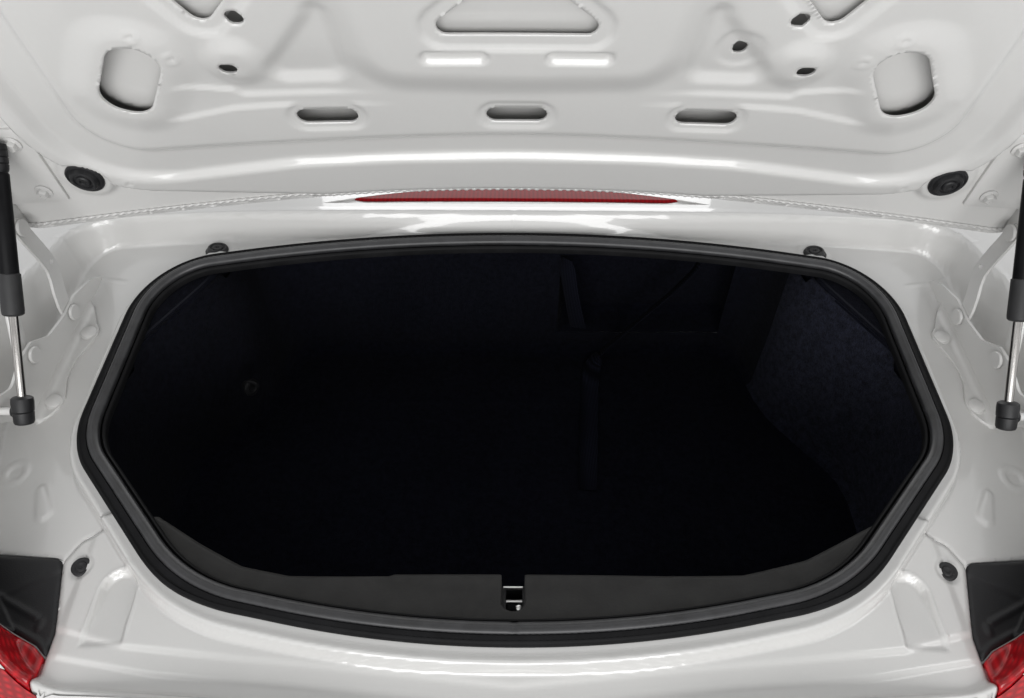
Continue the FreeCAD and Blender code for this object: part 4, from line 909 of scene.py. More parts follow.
class Form:
    """Points and faces in millimetres to which turned, swept and flat forms are added."""

    def __init__(self):
        self.points = []
        self.faces = []

    def add(self, points, faces):
        """Takes up more points, and faces that count from the first of them."""
        start = len(self.points)
        self.points += [tuple(point) for point in points]
        self.faces += [[start + index for index in face] for face in faces]

    def rings(self, rings, closed=False):
        """Skin over rings of equal length; closed joins the last ring to the first."""
        count = len(rings[0])
        faces = []
        last = len(rings) if closed else len(rings) - 1
        for i in range(last):
            a, b = i * count, (i + 1) % len(rings) * count
            faces += [[a + k, a + (k + 1) % count, b + (k + 1) % count, b + k] for k in range(count)]
        if not closed:
            faces.append(list(range(count))[::-1])
            faces.append([(len(rings) - 1) * count + k for k in range(count)])
        self.add([point for ring in rings for point in ring], faces)

    def turned(self, profile, origin, axis, sides=28):
        """Form turned about an axis through origin; the profile gives distance along it and radius."""
        origin, axis = np.array(origin, float), np.array(axis, float)
        axis = axis / np.linalg.norm(axis)
        helper = np.array((1.0, 0, 0)) if abs(axis[0]) < 0.8 else np.array((0, 0, 1.0))
        u = np.cross(axis, helper)
        u /= np.linalg.norm(u)
        v = np.cross(axis, u)
        angles = np.arange(sides) * 2 * math.pi / sides
        circle = np.outer(np.cos(angles), u) + np.outer(np.sin(angles), v)
        self.rings([origin + axis * along + circle * max(radius, 0.02) for along, radius in profile])

    def bolt(self, centre, axis, across):
        """Hexagon head on a flange, seated at centre."""
        r = across / 2
        self.turned([(-0.5, r * 1.5), (0.7, r * 1.5), (1.3, r * 1.32), (1.6, r * 1.05)], centre, axis)
        head = [
            (0.8, r * 1.04), (r * 0.95, r * 1.04), (r * 1.16, r * 0.86), (r * 1.16, r * 0.4),
            (r * 1.05, r * 0.36)
        ]
        self.turned(head, centre, axis, 6)

    def stamped(self, edge, ys, zs, near, far):
        """Upright plate between two X values, cut out by an edge function in Y and Z."""
        y, z, faces = trimmed_grid(ys, zs, edge)
        points, skin = with_rim(np.stack([np.full(len(y), near), y, z], 1), faces, [(far - near, 0, 0)])
        self.add(points, skin)
        self.add(np.stack([np.full(len(y), far), y, z], 1), [face[::-1] for face in faces])

    def piece(self, name, paint, body, slot=None, stands_for=(), angle=38.0):
        """The form as an object: its skin closed, then smoothed up to an angle."""
        made = new_piece(name, self.points, self.faces)
        form = bmesh.new()
        form.from_mesh(made.data)
        bmesh.ops.remove_doubles(form, verts=form.verts, dist=1e-6)
        bmesh.ops.recalc_face_normals(form, faces=form.faces)
        form.to_mesh(made.data)
        form.free()
        finished(made, paint, body, slot, stands_for)
        smooth(made.data, angle)


def edged(name, paint, edge, slot):
    """Copy of a CAD node with rounded edges, which stands for it."""
    node = frame["nodes"][name]
    form = bmesh.new()
    form.from_mesh(node.data)
    bmesh.ops.remove_doubles(form, verts=form.verts, dist=2e-5)
    bmesh.ops.dissolve_limit(form, angle_limit=math.radians(0.05), verts=form.verts, edges=form.edges)
    sharp = [e for e in form.edges if len(e.link_faces) == 2 and e.calc_face_angle(0.0) > math.radians(32.0)]
    bmesh.ops.bevel(
        form, geom=sharp, offset=edge * MM, offset_type="OFFSET", segments=2, profile=0.5, affect="EDGES",
        clamp_overlap=True
    )
    mesh = bpy.data.meshes.new(name + "_finished")
    form.to_mesh(mesh)
    form.free()
    smooth(mesh, 40.0)
    finished(placed(name + "_finished", mesh), paint, node["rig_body"], slot, (name,))


def painted(name, paint):
    """CAD node kept as it is, with a better material."""
    mesh = frame["nodes"][name].data
    mesh.materials.clear()
    mesh.materials.append(finish(paint))


def sheet(xs, ys, edge, height, rim):
    """Pressed sheet over a trimmed grid, with its free edges turned down by a list of depths."""
    x, y, faces = trimmed_grid(xs, ys, edge)
    return with_rim(np.stack([x, y, height(x, y)], 1), faces, [(0, 0, -depth) for depth in rim])


def mirrored(points, faces, side):
    """Sheet of the right side, or its mirror image on the left."""
    return points * (side, 1, 1), [face if side > 0 else face[::-1] for face in faces]


def colour(name, description, default):
    """Colour that a user may change."""
    return FloatVectorProperty(
        name=name, description=description, subtype="COLOR", size=3, min=0, max=1, default=default
    )


class BootLooks(bpy.types.PropertyGroup):
    """Colours and sizes of the boot section's looks."""

    paint: colour("Paint", "Body colour", (0.61, 0.603, 0.588))
    primer: colour("Underbody", "Coat of the structure below the boot", (0.33, 0.33, 0.33))
    rubber: colour("Rubber", "Colour of seal and buffers", (0.012, 0.012, 0.013))
    plastic: colour("Plastic", "Black plastic and strut paint", (0.012, 0.012, 0.013))
    trim: colour("Sill trim", "Trim on the sill behind the well", (0.032, 0.0315, 0.031))
    carpet: colour("Carpet", "Carpet in the well", (0.0045, 0.005, 0.0085))
    lens: colour("Lens", "Lamp lenses", (0.50, 0.006, 0.012))
    pitch: FloatProperty(
        name="Sheet pitch", description="Grid pitch of the pressed sheets", default=0.0026, min=0.0015,
        max=0.008, unit="LENGTH", subtype="DISTANCE"
    )
    rib_pitch: FloatProperty(
        name="Seal rib pitch", description="Distance between the ribs of the seal's carrier", default=0.0056,
        min=0.004, max=0.012, unit="LENGTH", subtype="DISTANCE"
    )
    light: FloatProperty(
        name="Light", description="Strength of the soft lamps", default=1.0, min=0.1, max=3.0
    )


def gutter_edge(x, y):
    """Negative inside the gutter sheet, which laps onto the panels in front and at the sides."""
    lap = 2.8 + 21.2 * ease(y, *LAP_START)
    fixed = np.maximum(lid_line.distance(x, y) - lap, -17.0 - seal_line.distance(x, y))
    return np.maximum.reduce(
        [fixed, 0.5 - filler_line.distance(np.abs(x), y), 0.5 - finisher_line.distance(x, y)]
    )


def gutter_height(x, y):
    """Gutter with pressed beads, a teardrop and the seats of buffers, lapped onto the panels."""
    z = gutter_surface(x, y)
    far = np.abs(x)
    lid = lid_line.distance(x, y)
    z = z + (0.4 * ease(lid, -2.0, 3.0) - 0.75 * ease(lid, 4.0, 22.0)) * ease(y, *LAP_START)
    # Raised teardrop, turned along the gutter.
    along, across = far - 456.0, y + 465.0
    turn = math.radians(62.0)
    u = along * math.cos(turn) + across * math.sin(turn)
    v = -along * math.sin(turn) + across * math.cos(turn)
    drop = np.hypot(np.maximum(np.abs(u) - 14.0, 0), v) - (7.5 - 0.12 * u)
    z = z + 2.2 * ease(drop, 1.0, -4.0)
    # Round raised pad with a dish in it.
    dish = np.hypot(far - 500.0, y + 432.0)
    z = z + 0.9 * ease(dish, 17.0, 13.0) - 1.5 * ease(dish, 9.0, 7.0)
    # Seat of the deck buffer, the beads, and a short dimple in front of the seal.
    z = z + 2.0 * ease(np.hypot(far - DECK_BUFFER[0], y - DECK_BUFFER[1]), 24.0, 17.5)
    for bead in GUTTER_BEADS:
        z = z + 0.9 * ease(run_distance(far, y, bead), 3.4, 0.6)
    z = z + 1.2 * ease(np.hypot(np.maximum(np.abs(y + 140.0) - 5.0, 0), x + 3.0), 3.2, 1.0)
    fold = np.minimum(filler_line.distance(far, y), finisher_line.distance(x, y)) - 0.5
    return z - 1.1 * ease(fold, 2.4, 0.0)


class BOOT_OT_gutters(bpy.types.Operator):
    """Front and side gutters round the well, and the black fillers at the lamps"""

    bl_idname = "boot.gutters"
    bl_label = "Gutters"

    def execute(self, context):
        pitch = context.scene.boot_looks.pitch / MM
        fine = pitch * 0.8
        made = sheet(
            np.arange(-590, 590.1, fine), np.arange(-690, -76, fine), gutter_edge, gutter_height, (1.0, 2.0)
        )
        finished(
            new_piece("gutter_sheet", *made), "gloss paint", "root", "body_paint",
            ("gutter_front", "gutter_left", "gutter_right")
        )
        self.fillers(pitch)
        return {"FINISHED"}

    def fillers(self, pitch):
        """Black plastic fillers with stepped ribs."""

        def edge(x, y):
            fixed = np.maximum(lid_line.distance(x, y) - 2.8, 0.4 - finisher_line.distance(x, y))
            return np.maximum.reduce(
                [fixed, filler_line.distance(x, y) + 0.4, np.interp(x, *LAMP_EDGE) + 0.8 - y]
            )

        def height(x, y):
            z = gutter_surface(x, y) + 0.6
            rib = run_distance(x, y, FILLER_RIB)
            low = run_distance(x, y, FILLER_LOW_RIB)
            # A step, two ribs and a small screw dome.
            z = z - 2.4 * ease(y + 557.0 + 0.46 * (x - 457.0), 0.0, -4.0) + 1.5 * ease(rib, 3.4, 1.2)
            z = z + 1.6 * ease(low, 4.0, 1.8)
            z = z + 1.2 * ease(np.hypot(x - 409.0, (y + 583.0) * 0.7), 4.5, 2.5)
            return z - 1.5 * ease(edge(x, y), -3.0, 0.0)

        fine = pitch * 0.7
        made = sheet(np.arange(380, 566, fine), np.arange(-700, -495, fine), edge, height, (2.5,))
        for name, side in SIDES:
            piece = new_piece("lamp_filler_%s_moulding" % name, *mirrored(*made, side))
            finished(piece, "grained plastic", "root", "black_plastic", ("lamp_filler_" + name,))


class BOOT_OT_finisher(bpy.types.Operator):
    """Moulded finisher behind the seal and the bumper cover below it"""

    bl_idname = "boot.finisher"
    bl_label = "Rear finisher"

    def execute(self, context):
        pitch = context.scene.boot_looks.pitch / MM

        def edge(x, y):
            fixed = np.maximum(lid_line.distance(x, y) - 4.0, -17.0 - seal_line.distance(x, y))
            return np.maximum(fixed, finisher_line.distance(x, y) + 0.4)

        def height(x, y):
            z = gutter_surface(x, y)
            far = np.abs(x)
            # Pocket with a round front end and a raised lip.
            u, v = far - FINISHER_POCKET[0], y - FINISHER_POCKET[1]
            pocket = np.where(v > 0, np.hypot(u, v), np.maximum(np.abs(u) + 0.05 * v, -30.0 - v)) - 17.0
            z = z - (0.115 * (y + 604.0) + 1.6) * ease(pocket, 0.6, -2.6)
            z = z + 1.0 * ease(np.abs(pocket), 2.4, 0.4) * ease(y, -604.0, -590.0)
            # Seat of the clip, then the fold and the shelf across the width.
            z = z - 1.2 * ease(np.hypot(far - FINISHER_CLIP[0], y - FINISHER_CLIP[1]), 12.0, 9.5)
            fold = y - np.interp(far, *FINISHER_FOLD)
            z = z + 1.8 * ease(fold, -4.0, 1.0) * ease(far, 391.0, 380.0)
            shelf = y - np.interp(far, *FINISHER_SHELF)
            z = z - 2.0 * ease(shelf, 2.0, -3.5) + 1.3
            return z - 1.6 * ease(finisher_line.distance(x, y) + 0.4, -3.2, 0.0)

        fine = pitch * 0.72
        made = sheet(np.arange(-412, 412.1, fine), np.arange(-706, -478, fine), edge, height, (1.0, 2.0))
        finished(new_piece("rear_finisher", *made), "gloss paint", "root", "body_paint")
        self.bumper()
        clips = Form()
        for side in (-1.0, 1.0):
            x, y = side * FINISHER_CLIP[0], FINISHER_CLIP[1]
            clips.turned(
                CLIP_PROFILE, (x, y, height_at(gutter_surface, x, y) + 0.9), (-side * 0.12, -0.11, 1.0), 32
            )
        clips.piece("finisher_clips", "grained plastic", "root", "black_plastic")
        return {"FINISHED"}

    def bumper(self):
        """Bumper cover without the part that the finisher shows."""
        node = frame["nodes"]["bumper_cover"]
        form = bmesh.new()
        form.from_mesh(node.data)
        bmesh.ops.remove_doubles(form, verts=form.verts, dist=2e-5)
        centres = np.array([face.calc_center_median() for face in form.faces]) / MM
        distance = lid_line.distance(centres[:, 0], centres[:, 1])
        under_finisher = (distance < 2.0) & (centres[:, 2] > 340.0)
        gone = [face for face, hidden in zip(form.faces, under_finisher) if hidden]
        bmesh.ops.delete(form, geom=gone, context="FACES")
        mesh = bpy.data.meshes.new("bumper_cover_skin")
        form.to_mesh(mesh)
        form.free()
        smooth(mesh, 24.0)
        finished(placed("bumper_cover_skin", mesh), "gloss paint", "root", "body_paint", ("bumper_cover",))


class BOOT_OT_outer_panels(bpy.types.Operator):
    """Deck, quarter panels and lid skin in gloss paint"""

    bl_idname = "boot.outer_panels"
    bl_label = "Outer panels"

    def execute(self, context):
        for name in ("deck_panel", "quarter_panel_left", "quarter_panel_right", "lid_outer"):
            painted(name, "gloss paint")
        return {"FINISHED"}


class BOOT_OT_seal(bpy.types.Operator):
    """Rubber seal: hollow bulb on a ribbed carrier"""

    bl_idname = "boot.seal"
    bl_label = "Seal"

    def execute(self, context):
        rib = context.scene.boot_looks.rib_pitch / MM
        points, out = seal_line.spaced(rib / 2)
        bulb, carrier = [], []
        for index, ((x, y), (nx, ny)) in enumerate(zip(points, out)):
            # The bulb's two ends meet in a fine notch at the rear, where the carrier is drawn in a little.
            joint = 1.3 if abs(x) < 1.6 and y < -590 else 0.0
            bulb.append([(x + nx * o, y + ny * o, seal_top(x, y) + h - joint) for o, h in BULB_SECTION])
            drawn_in = 3.2 * ease(-y, 560.0, 600.0)
            ring = []
            for k, (o, h) in enumerate(CARRIER_SECTION):
                raised = 0.9 if k in RIBBED_POINTS and index % 2 else 0.0
                o -= drawn_in if o > -4.0 else 0.0
                ring.append((x + nx * o, y + ny * o, seal_top(x, y) + h + raised))
            carrier.append(ring)
        self.skin("seal_bulb", bulb, "bulb rubber and sheen", ("boot_seal",))
        self.skin("seal_carrier", carrier, "seal rubber", ())
        return {"FINISHED"}

    def skin(self, name, rings, paint, stands_for):
        """One closed run of rings as a piece of the seal."""
        form = Form()
        form.rings(rings, closed=True)
        form.piece(name, paint, "root", "seal_rubber", stands_for, 50.0)


def felt_swell(u, v, seed):
    """Slow unevenness of a felt lining, in millimetres inward."""
    slow = np.sin(u * 0.021 + seed) * np.sin(v * 0.034 + 1.7 * seed)
    quick = np.sin(u * 0.057 - v * 0.043 + seed * 2.1)
    return 1.1 + 0.7 * (slow + 0.5 * quick)


class BOOT_OT_well(bpy.types.Operator):
    """Carpeted well with its recess, luggage straps, hooks and tub"""

    bl_idname = "boot.well"
    bl_label = "Well"

    def execute(self, context):
        painted("boot_tub", "tub paint")
        self.floor()
        self.walls()
        self.shoulder()
        self.straps()
        self.hooks()
        return {"FINISHED"}

    def floor(self):
        """Floor carpet: a soft sheet that turns up at its border, with a hatch pressed in it."""

        def edge(x, y):
            return well_line.distance(x, y) - 1.0

        def height(x, y):
            inner = -well_line.distance(x, y)
            z = WELL_FLOOR + felt_swell(x, y, 0.4) * 1.1 + 7.0 * ease(inner, 16.0, 0.0) ** 1.4
            hatch = np.maximum(np.abs(x) - 262.0, np.abs(y + 330.0) - 150.0)
            return z - 2.2 * (ease(hatch, -5.0, -1.0) - ease(hatch, 1.0, 5.0))

        made = sheet(np.arange(-436, 436.1, 6.0), np.arange(-640, -66, 6.0), edge, height, (4.0,))
        finished(new_piece("floor_carpet", *made), "carpet", "root", "carpet", ("carpet_floor",))

    def walls(self):
        """Wall carpets: the well's outline drawn upward, split where the CAD linings meet."""
        points, out = well_line.spaced(7.0)
        points, out = np.vstack([points, points[:1]]), np.vstack([out, out[:1]])
        x, y = points[:, 0], points[:, 1]
        tops = seal_top(x, y) - 17.5
        tops = np.where(seal_line.distance(x, y) > -18.0, np.minimum(tops, gutter_floor(x, y) - 6.0), tops)
        levels = np.concatenate([[186.0, 190.0, 196.0], np.arange(204.0, 452.0, 9.0)])
        parts = {
            "carpet_front": lambda x, y: y > -150.0,
            "carpet_rear": lambda x, y: y < -520.0,
            "carpet_left": lambda x, y: x < 0 and -520.0 <= y <= -150.0,
            "carpet_right": lambda x, y: x > 0 and -520.0 <= y <= -150.0,
        }
        for name, belongs in parts.items():
            form = Form()
            grid = {}
            for i in range(len(points) - 1):
                middle = (points[i] + points[i + 1]) / 2
                if not belongs(*middle):
                    continue
                beside = RECESS_X[0] - 2 < middle[0] < RECESS_X[1] + 2 and middle[1] > -77
                for j in range(len(levels) - 1):
                    level = (levels[j] + levels[j + 1]) / 2
                    if name == "carpet_front" and beside and RECESS_Z[0] - 1 < level < RECESS_Z[1] + 1:
                        continue
                    face = []
                    for a, b in ((i, j), (i, j + 1), (i + 1, j + 1), (i + 1, j)):
                        if (a, b) not in grid:
                            grid[(a, b)] = len(form.points)
                            level = min(levels[b], tops[a])
                            form.points.append(self.wall_point(points[a], out[a], level, a * 7.0))
                        face.append(grid[(a, b)])
                    form.faces.append(face)
            if name == "carpet_front":
                self.recess(form)
            piece = new_piece(name + "_lining", form.points, form.faces)
            # The right wall takes the lighter felt as painted light, the left wall the floor's darker felt as
            # painted shade.
            finished(piece, "painted lit carpet" if name == "carpet_right" else "carpet", "root", "carpet", (name,))

    def shoulder(self):
        """Carpet that closes the gap between the wall carpets and the seal."""

        def edge(x, y):
            return np.maximum(seal_line.distance(x, y) + 14.0, -1.5 - well_line.distance(x, y))

        def height(x, y):
            return seal_top(x, y) - 17.6 - 0.5 * felt_swell(x, y, 3.0)

        made = sheet(np.arange(-436, 436.1, 4.0), np.arange(-640, -60, 4.0), edge, height, (3.0,))
        finished(new_piece("well_shoulder_carpet", *made), "carpet", "root", "carpet")

    def wall_point(self, point, out, level, run):
        """Point of a wall carpet, a little proud of the lining's face and rounded at the floor."""
        inward = felt_swell(run, level, 2.0) + 9.0 * ease(level, 206.0, 188.0)
        return (point[0] - out[0] * inward, point[1] - out[1] * inward, level)

    def recess(self, form):
        """Recess in the right of the front wall, with soft corners."""
        xs, zs = np.linspace(*RECESS_X, 36), np.linspace(*RECESS_Z, 24)
        points = []
        for x in xs:
            for z in zs:
                near = min(x - xs[0], xs[-1] - x, z - zs[0], zs[-1] - z)
                depth = RECESS_DEPTH * ease(near, -0.5, 13.0) + felt_swell(x, z, 5.0) - 1.0
                points.append((x, -76.5 + depth, z))
        rows = len(zs)
        corners = [i * rows + j for i in range(len(xs) - 1) for j in range(rows - 1)]
        form.add(points, [[c, c + rows, c + rows + 1, c + 1] for c in corners])

    def straps(self):
        """Two flat straps with a slight belly."""
        straps = (
            ("strap_short_web", SHORT_STRAP, "luggage_strap_short"),
            ("strap_long_web", LONG_STRAP, "luggage_strap_long"),
        )
        for name, path, node in straps:
            form = Form()
            form.rings(self.web(path))
            form.piece(name, "webbing", "root", "carpet", (node,), 50.0)

    def web(self, path):
        """Rings of a flat band along a smooth path."""
        path = np.array(path, float)
        run = np.concatenate([[0], np.cumsum(np.linalg.norm(np.diff(path, axis=0), axis=1))])
        at = np.linspace(0, run[-1], int(run[-1] / 5) + 2)
        middle = np.stack([np.interp(at, run, path[:, k]) for k in range(3)], 1)
        for _ in range(3):
            middle[1:-1] = (middle[:-2] + 2 * middle[1:-1] + middle[2:]) / 4
        along = np.gradient(middle, axis=0)
        along /= np.linalg.norm(along, axis=1)[:, None]
        across = np.cross(along, np.array((0, 0.35, 1.0)))
        across[:, 0] = np.where(np.abs(across[:, 0]) < 1e-6, 1.0, across[:, 0])
        across /= np.linalg.norm(across, axis=1)[:, None]
        across *= np.sign(across[:, :1])
        face = np.cross(along, across)
        band = [(12, 0.5), (12.4, 0), (12, -0.5), (0, -0.8), (-12, -0.5), (-12.4, 0), (-12, 0.5), (0, 0.8)]
        return [[p + a * wide + f * thick for wide, thick in band] for p, a, f in zip(middle, across, face)]

    def hooks(self):
        """Lashing hooks on the floor and one on the left wall."""
        form = Form()
        for x, y, z in HOOKS:
            axis = (0, 0, 1) if z < 250 else (0.9, -0.45, 0.2)
            form.turned(HOOK_FOOT_PROFILE, (x, y, z + 1.5), axis, 24)
            loop = []
            for t in np.linspace(0, math.pi, 15):
                reaches = [
                    (9.0 + 2.0 * math.cos(s), 2.0 * math.sin(s))
                    for s in np.linspace(0, 2 * math.pi, 9)[:-1]
                ]
                loop.append(
                    [(x + r * math.cos(t), y + side, z + 3.0 + r * math.sin(t)) for r, side in reaches]
                )
            form.rings(loop)
        form.piece("lashing_hooks", "strut paint", "root", "black_plastic")


class BOOT_OT_sill(bpy.types.Operator):
    """Sill trim and the latch in it"""

    bl_idname = "boot.sill"
    bl_label = "Sill trim and latch"

    def execute(self, context):
        def edge(x, y):
            slot = np.hypot(x + 1.0, np.minimum(y + 575.0, 0)) - 10.0
            front = y - np.interp(x, *TRIM_FRONT)
            return np.maximum.reduce([front, seal_line.distance(x, y) + 20.0, np.abs(x) - 330.0, -slot])

        def height(x, y):
            fall = ease(seal_line.distance(x, y), -24.0, -60.0)
            rounded = 2.4 * ease(y - np.interp(x, *TRIM_FRONT), -3.5, 0.0)
            return seal_top(x, y) - 16.0 - 9.0 * fall - rounded

        made = sheet(np.arange(-332, 332.1, 2.4), np.arange(-606, -486, 1.8), edge, height, (3.0, 16.0, 30.0))
        finished(
            new_piece("sill_trim_moulding", *made), "trim plastic", "root", "black_plastic", ("sill_trim",)
        )
        edged("boot_latch", "grained plastic", 0.8, "steel")
        form = Form()
        for x in (-17.5, 17.5):
            form.bolt((x, -574.0, 380.2), (0, 0, 1), 7.0)
        form.turned([(-9.0, 2.2), (9.0, 2.2)], (0, -560.5, 372.0), (1, 0, 0), 16)
        form.turned([(-8.5, 1.1), (8.5, 1.1)], (-1, -553.0, 384.0), (1, 0, 0), 12)
        form.turned([(0, 3.0), (1.4, 3.0), (2.0, 2.2), (2.0, 0.3)], (4.0, -572.0, 384.0), (0, 0.2, 1), 16)
        form.piece("latch_fixings", "plated steel", "root", "steel")
        return {"FINISHED"}


class BOOT_OT_buffers(bpy.types.Operator):
    """Rubber deck buffers, rubber lid stops and the lid's striker"""

    bl_idname = "boot.buffers"
    bl_label = "Buffers and striker"

    def execute(self, context):
        for name, side in SIDES:
            x, y = side * DECK_BUFFER[0], DECK_BUFFER[1]
            form = Form()
            form.turned(DECK_BUFFER_PROFILE, (x, y, gutter_floor(x, y) + 1.6), (-side * 0.12, 0.11, 1), 40)
            form.piece(
                "deck_buffer_%s_rubber" % name, "stop rubber", "root", "seal_rubber", ("deck_buffer_" + name,)
            )
            self.lid_stop(name, side)
        edged("lid_striker", "plated steel", 0.5, "steel")
        return {"FINISHED"}

    def lid_stop(self, name, side):
        """Ringed rubber stop under the lid, drawn shut and lifted."""
        x, y = side * LID_STOP[0], LID_STOP[1]
        form = Form()
        form.turned(
            [(h, 0.95 * r) for h, r in LID_STOP_PROFILE], (x, y, crown(x, y, 4.9) - 5.4), (0, 0, -1), 40
        )
        form.points = lifted(form.points)
        form.piece(
            "lid_stop_%s_rubber" % name, "stop rubber", "lid", "seal_rubber", ("lid_stop_" + name,), 30.0
        )


class BOOT_OT_lamps(bpy.types.Operator):
    """Tail lamps and the third stop lamp"""

    bl_idname = "boot.lamps"
    bl_label = "Lamps"

    def execute(self, context):
        for name, side in SIDES:
            painted("tail_lens_" + name, "lens")
            painted("lamp_housing_" + name, "reflector")
            self.upper_lens(name, side)
        self.stop_lamp()
        return {"FINISHED"}

    def upper_lens(self, name, side):
        """Upper end of the tail lens, which runs under the lid's edge up to the filler."""

        def edge(x, y):
            inner = np.maximum(y - np.interp(x, *LAMP_EDGE) + 0.6, 0.9 - finisher_line.distance(x, y))
            return np.maximum(inner, lid_line.distance(x, y) - 5.0)

        def height(x, y):
            tucked = 1.6 * ease(lid_line.distance(x, y), -4.0, 3.0)
            return gutter_surface(x, y) + 1.6 - tucked - 1.4 * ease(edge(x, y), -3.0, 0.0)

        made = sheet(np.arange(384, 540, 2.0), np.arange(-680, -540, 2.0), edge, height, (2.0, 4.0))
        finished(new_piece("tail_lens_upper_" + name, *mirrored(*made, side)), "lens", "root", "lens_red")

    def stop_lamp(self):
        """Third stop lamp: a thin lens in a painted recess of the deck."""

        def opening(x, y):
            rear = -114.3 + 10.0 * (x / 236.0) ** 2
            return np.maximum.reduce([rear - y, y + 69.8, np.abs(x) - 234.2])

        def lens_edge(x, y):
            rear = -103.4 + 6.0 * (x / 222.0) ** 2 + 16.0 * ease(np.abs(x), 176.0, 224.0) ** 1.5
            return np.maximum.reduce([rear - y, y + 72.5, np.abs(x) - 222.0])

        def frame_edge(x, y):
            return np.maximum(opening(x, y), 0.8 - lens_edge(x, y))

        def frame_height(x, y):
            return crown(x, y) - 0.4 - 2.2 * ease(opening(x, y), -1.0, -5.0)

        def lens_height(x, y):
            return crown(x, y) - 0.2 - 1.5 * ease(lens_edge(x, y), -2.5, 0.0)

        xs, ys = np.arange(-238, 238.1, 2.0), np.arange(-118, -66, 1.4)
        made = sheet(xs, ys, frame_edge, frame_height, (2.0, 4.0))
        finished(new_piece("stop_lamp_frame", *made), "gloss paint", "root", "body_paint")
        made = sheet(xs, ys, lens_edge, lens_height, (2.0, 4.0))
        finished(new_piece("stop_lamp_lens", *made), "stop lens", "root", "lens_red", ("stop_lamp",))


class BOOT_OT_hinges(bpy.types.Operator):
    """Stamped hinge plates with their bolts and rivets"""

    bl_idname = "boot.hinges"
    bl_label = "Hinges"

    def execute(self, context):
        for name, side in SIDES:
            for node in ("rear_link_", "lid_bracket_"):
                edged(node + name, "inner paint", 0.7, "body_paint")
            self.base(name, side)
            self.front_link(name, side)
            self.fixings(name, side)
        return {"FINISHED"}

    def base(self, name, side):
        """Stamped base: upright web with a hook, and a foot that is bent onto the gutter."""
        near, far = WEB_FACES
        form = Form()
        form.stamped(
            web_line.distance, np.arange(-420, -166, 2.0), np.arange(390, 458, 2.0), side * near, side * far
        )
        # Section of the foot: down from the web, round the bend and out to its edge.
        rings = []
        for y in np.linspace(-375, -213, 82):
            right = float(np.interp(y, *FOOT_EDGE))
            section = [(502.2, 13.0), (499.2, 13.0)]
            section += [
                (492.5 + 6.7 * math.cos(t), 10.0 - 7.0 * math.sin(t))
                for t in np.linspace(0, math.pi / 2, 7)
            ]
            section = [(max(x, right + 0.4), h) for x, h in section]
            section += [(right + 0.4, 3.0), (right, 2.5), (right, -0.6), (502.2, -0.6)]
            rings.append([(side * x, y, gutter_floor(x, y) + h) for x, h in section])
        form.rings(rings)
        form.turned([(0, 4.0), (15.0, 4.0)], (side * 499.6, *STRUT_FOOT), (-side, 0, 0), 20)
        form.piece(
            "hinge_base_%s_stamping" % name, "inner paint", "root", "body_paint", ("hinge_base_" + name,),
            30.0
        )

    def front_link(self, name, side):
        """Cranked link with a pilot hole."""

        def edge(y, z):
            band = run_distance(y, z, LINK_PATH) - 9.6
            pilot_hole = 3.0 - np.hypot(y + 233.0, z - 487.0)
            return np.maximum(band, pilot_hole)

        near, far = LINK_FACES
        form = Form()
        form.stamped(edge, np.arange(-262, -216, 1.6), np.arange(414, 556, 1.6), side * near, side * far)
        form.piece(
            "front_link_%s_stamping" % name, "inner paint", "front_links", "body_paint",
            ("front_link_" + name,), 30.0
        )

    def fixings(self, name, side):
        """Flat-headed foot bolts, rivets on the web and bolts of the lid's bracket."""
        form = Form()
        for x, y in FOOT_BOLTS:
            foot = (side * x, y, gutter_floor(x, y) + 3.0)
            form.turned(FLAT_BOLT_PROFILE, foot, (-side * 0.1, -0.11, 1.0), 36)
        form.piece("hinge_bolts_" + name, "inner paint", "root", "body_paint")
        pins = Form()
        for y, z in WEB_PINS:
            pins.turned(RIVET_PROFILE, (side * WEB_FACES[0], y, z), (-side, 0, 0), 32)
        pins.piece("hinge_rivets_" + name, "inner paint", "root", "body_paint")
        lid = Form()
        for x, y in LID_BOLTS:
            lid.bolt((side * x, y, crown(x, y, 8.1)), (0, 0, -1), 11.0)
        lid.points = lifted(lid.points)
        lid.piece("lid_bracket_bolts_" + name, "inner paint", "lid", "body_paint")
        top = Form()
        for x, y, z in LID_PINS:
            top.turned(RIVET_PROFILE, (side * x, y, z), (-side, 0, 0), 32)
        top.piece("lid_rivets_" + name, "inner paint", "lid", "body_paint")


class BOOT_OT_struts(bpy.types.Operator):
    """Gas struts: tube with sleeve, polished rod and ball sockets"""

    bl_idname = "boot.struts"
    bl_label = "Gas struts"

    def execute(self, context):
        for name, side in SIDES:
            top, foot = np.array((side * STRUT_X, *STRUT_TOP)), np.array((side * STRUT_X, *STRUT_FOOT))
            length = float(np.linalg.norm(foot - top))
            run = (foot - top) / length
            rod = [(length - 150.0, 3.6), (length - 149.0, 3.9), (length - 12.0, 3.9)]
            parts = (
                (
                    "strut_tube_%s_paint", TUBE_PROFILE, 32, "strut paint", "strut_tubes", "strut_black",
                    ("strut_tube_" + name,)
                ),
                ("strut_sleeve_%s", SLEEVE_PROFILE, 32, "sleeve", "strut_tubes", "strut_black", ()),
                ("strut_rod_%s_steel", rod, 24, "rod", "strut_rods", "steel", ("strut_rod_" + name,)),
            )
            for label, profile, sides, paint, body, slot, stands_for in parts:
                form = Form()
                form.turned(profile, top, run, sides)
                form.piece(label % name, paint, body, slot, stands_for)
            self.socket("strut_top_socket_" + name, "strut_tubes", top, run, side, TOP_SOCKET_PROFILE)
            self.socket("strut_foot_socket_" + name, "strut_rods", foot, -run, side, FOOT_SOCKET_PROFILE)
        return {"FINISHED"}

    def socket(self, name, body, centre, run, side, profile):
        """Moulded ball socket: a ringed barrel with a boss where the stud enters."""
        form = Form()
        form.turned(profile, centre, run, 32)
        form.turned(SOCKET_BOSS_PROFILE, centre, (side, 0.0, 0.0), 24)
        form.piece(name, "grained plastic", body, "black_plastic")


